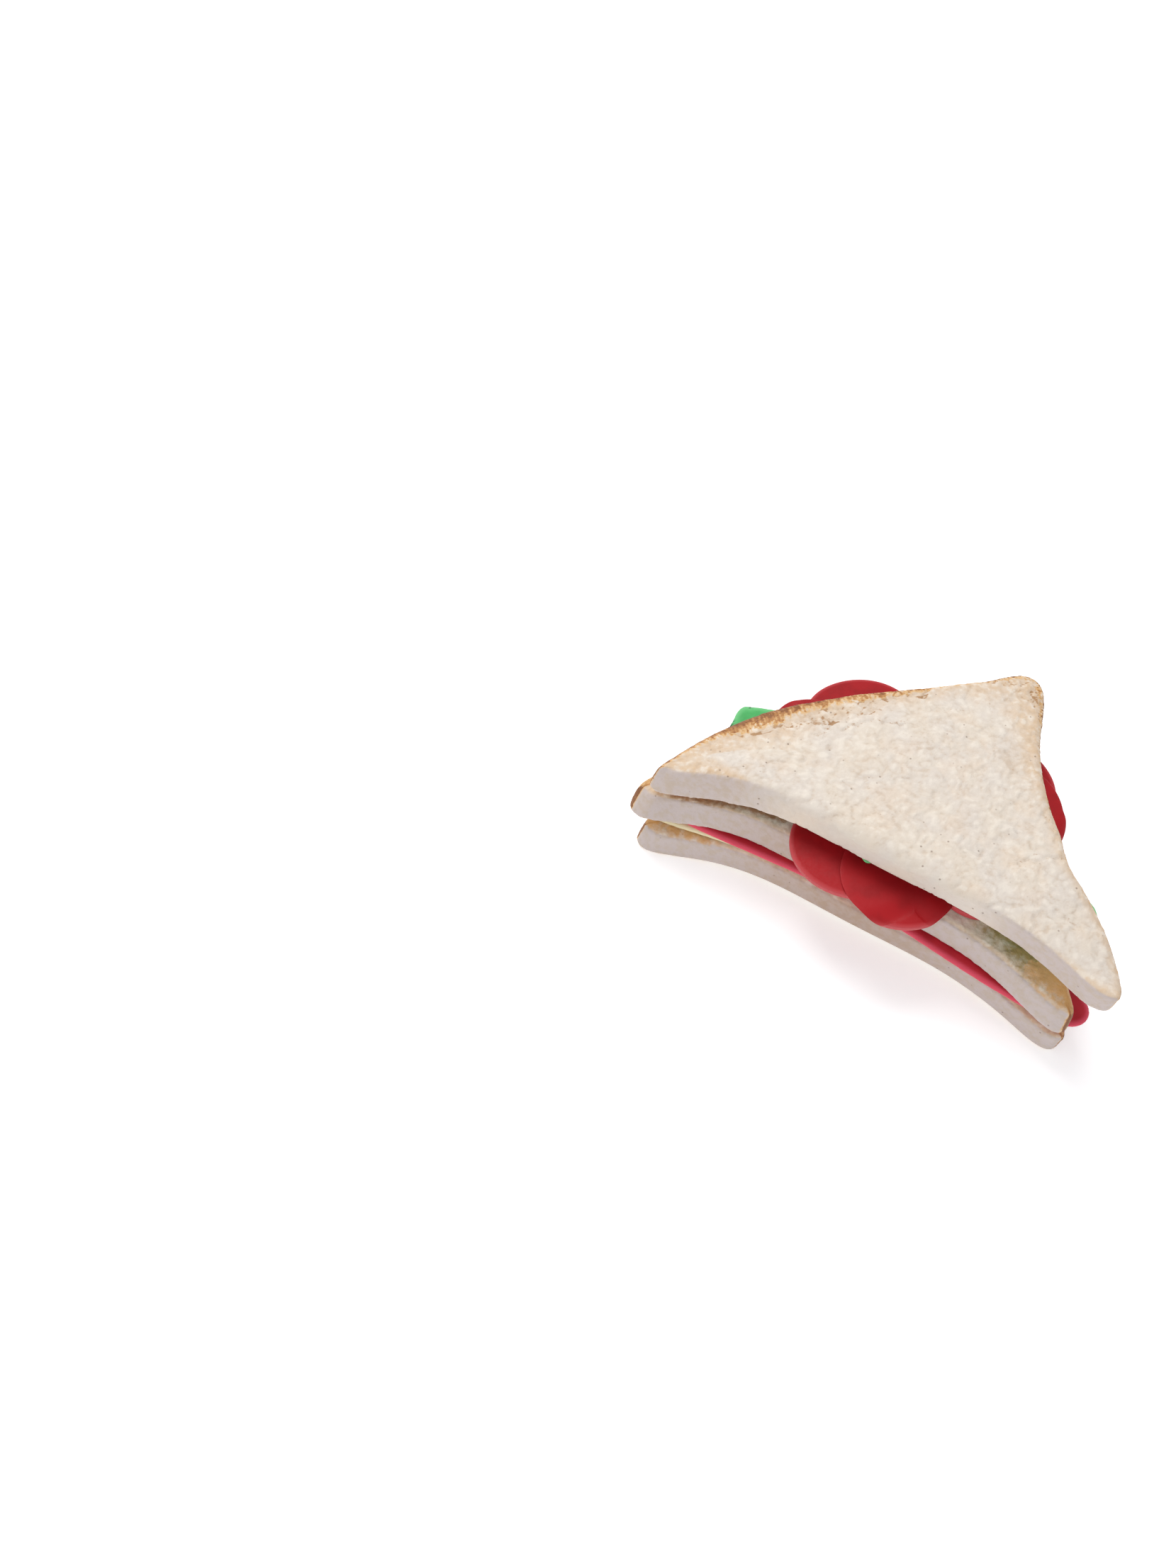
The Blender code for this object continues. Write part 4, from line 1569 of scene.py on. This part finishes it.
# --- the sandwich ---------------------------------------------------------------------
BREADS = (
    BreadSlice(
        "bread_bottom", 0.0, (-5.3, -2.6, 0.95), (2.5, 1.0),
        PressedTips((0.0, 0.0), (2.5, 1.5), (-0.4, 0.5), (-0.4, 0.5)), 3.1, Airbrush.DARK,
        flat_below=True, voxel=0.64, wall_brown_and_shade=(0.0, 62.0, 0.75),
        stains=(Stain(((-78.0, -33.5), (-66.0, -32.5), (-54.0, -28.5)), 4.2, 0.1, 3.5),)),
    BreadSlice(
        "bread_middle", 17.25, (-8.3, -1.0, -0.2), (4.6, 2.5),
        PressedTips((-0.9, -1.6), (1.4, 0.8), (1.4, -1.6), (0.0, 0.0)), 11.7, Airbrush.DARK,
        voxel=0.6, bare_from=0.6, wall_brown_and_shade=(-10.0, 50.0, 0.5),
        worn=((2.0, 2.0), (2.6, 1.8), (2.75, 1.2), (2.95, 1.3), (3.0, 2.4)),
        stains=(Stain(((44.0, -19.0), (51.0, -22.0), (59.0, -25.0), (66.0, -28.0)),
                      6.0, 1.0, 5.0),
                Stain(((68.0, -28.5), (78.0, -31.5)), 6.5, 0.1, 3.5),
                # Thin brown line along the rim under the top slice: partly brown paint, partly
                # painted contact shadow
                Stain(((-72.0, -36.0), (-60.0, -33.0), (-45.0, -28.0), (-28.0, -24.5)),
                      2.0, 2.0, 1.4),
                Stain(((-81.0, -35.0), (-77.0, -30.0), (-73.0, -25.0)), 3.4, 0.3, 3.0))),
    BreadSlice(
        "bread_top", 37.35, (-0.5, 0.9, 0.0), (5.1, 1.0),
        PressedTips((0.4, 0.2), (3.2, 0.4), (-0.6, -0.3), (-0.6, -0.3)), 20.3, Airbrush.SOFT,
        sag=Sag(), cut_radius=1.3, tuck=(0.2, 1.0),
        plan=RoundTriangle(
            ((-78.0, -36.3, 4.8), (17.2, 59.9, 7.5), (78.9, -36.0, 5.1)), BREAD_SWELLS,
            dents=((1.1, -1.3, 0.06), (1.64, 2.9, 0.05), (1.86, -1.0, 0.1))),
        worn=((2.0, 1.6), (2.2, 1.8), (2.32, 4.0), (2.45, 5.5), (2.62, 5.0), (2.74, 2.8),
              (2.86, 1.8), (3.0, 1.8)),
        folds=(Fold(((-30, 7), (-26, 12), (-23, 15.5), (-19, 17), (-13, 19.5)), 0.3, 0.5),
               Fold(((-49, -1), (-47, -2), (-44, -1.5)), 0.35, 0.55),
               Fold(((-45, 3), (-40, 5), (-35, 4.5)), 0.35, 0.6),
               Fold(((-38.5, -1), (-35, 2)), 0.3, 0.5),
               Fold(((-9, 30.5), (-4.5, 32.5), (1, 36.5)), 0.25, 0.35),
               Fold(((7.5, 45.5), (9.5, 43)), 0.3, 0.4),
               Fold(((10, 57), (14, 57.5), (19, 55), (23, 54)), 0.25, 0.35, 1.0),
               Fold(((12, 24.5), (16, 24.5), (18.5, 25.5)), 0.3),
               Fold(((10, 11.5), (14, 12), (16, 16.5)), 0.3),
               Fold(((41.5, 10), (43, 7), (45, 6), (47, 4)), 0.4, 0.35),
               Fold(((39, -12), (41.5, -9), (44, -6)), 0.35, 0.5),
               Fold(((45.5, -7), (47.5, -4.5), (51, -2)), 0.35, 0.45),
               Fold(((22, -17), (26.5, -17), (28.5, -15.5), (26, -13)), 0.4, 0.15),
               Fold(((41, -18), (43, -18), (45, -19.5), (45, -21.5)), 0.3),
               Fold(((60, -22.5), (63, -22)), 0.2, 0.3, 1.2)),
        blisters=(Blister(-38.3, -11.9, 1.9, 0.45), Blister(-45.0, -7.5, 1.4, 0.25),
                  Blister(-32.0, 8.0, 2.3, 0.3), Blister(33.0, -2.0, 2.2, 0.25))))

SHEETS = (
    (SoftVinyl("pvc_vinyl_pale_yellow", "#D9CDA2", "#D0C28F", "#E0D5B0"),
     VinylSheet("cheese", "cheese", RoundTriangle(
         ((-80.0, -34.0, 2.0), (4.3, 46.3, 6.4), (62.6, -29.2, 5.0)),
         ((5.3, 0.9), (-8.8, 0.8), (-6.2, 0.0))), 11.75)),
    # Ham vinyl: its pink rim colour is painted light on the sheet's lit side, against the darker
    # red top
    (SoftVinyl("pvc_vinyl_ham_red", "#BE2130", "#AE1A28", "#DA4B60"),
     VinylSheet("ham", "ham", RoundTriangle(
         ((-67.0, -29.5, 4.0), (5.5, 47.3, 8.0), (75.0, -29.7, 7.6)),
         ((4.0, 0.7), (-15.4, 2.2), (-2.2, 0.9, 0.7))), 14.5)))


def tomato_slices() -> tuple[TomatoSlice, ...]:
    """Describe the tomato slices, of which the last three lie on others."""
    front_left = TomatoSlice("tomato_front_left", -11.4, -21.1, 20.2)
    front_right = TomatoSlice("tomato_front_right", 29.5, -10.0, 16.0)
    crown = TomatoSlice("tomato_crown", -27.8, 27.0, 21.0, hollow=True)
    ear = TomatoSlice("tomato_ear", 23.2, 28.9, 19.0, hollow=True)
    return (front_left, front_right, crown, ear,
            TomatoSlice("tomato_front_middle", 7.3, -24.0, 19.5, (front_left, front_right)),
            TomatoSlice("tomato_side", 27.4, 15.2, 21.5, (ear, front_right), hollow=True),
            TomatoSlice("tomato_back_left", -39.4, 9.7, 17.1, (crown,), hollow=True))


def main() -> None:
    """Set up the studio, build the sandwich from the bottom up, and log its size beside the CAD
    model's.
    """
    logging.basicConfig(level=logging.INFO, format="%(message)s")
    noise.seed_set(NOISE_SEED)
    Studio().build()

    bread = BrushedFoam().build()
    for bread_slice in BREADS:
        bread_slice.build(bread)
    for vinyl, sheet in SHEETS:
        sheet.build(vinyl.build())
    slices = tomato_slices()
    # Tomato vinyl, whose lighter rim colour is a painted highlight
    tomato = SoftVinyl("pvc_vinyl_tomato_red", "#A6141B", "#981218", "#C04A4E",
                       shine=0.18).build()
    for tomato_slice in slices:
        tomato_slice.build(tomato)
    leaf = SoftVinyl("pvc_vinyl_leaf_green", "#50B465", "#43A457", "#78C985").build()
    LettuceLeaf(slices).build(leaf)

    boxes = {"cad": CAD_BOX, "visual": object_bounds()}
    for name, (low, high) in boxes.items():
        log.info("%s box: %s to %s mm", name, *(
            [round(part / MM, 1) for part in corner] for corner in (low, high)))


if __name__ == "__main__":
    main()
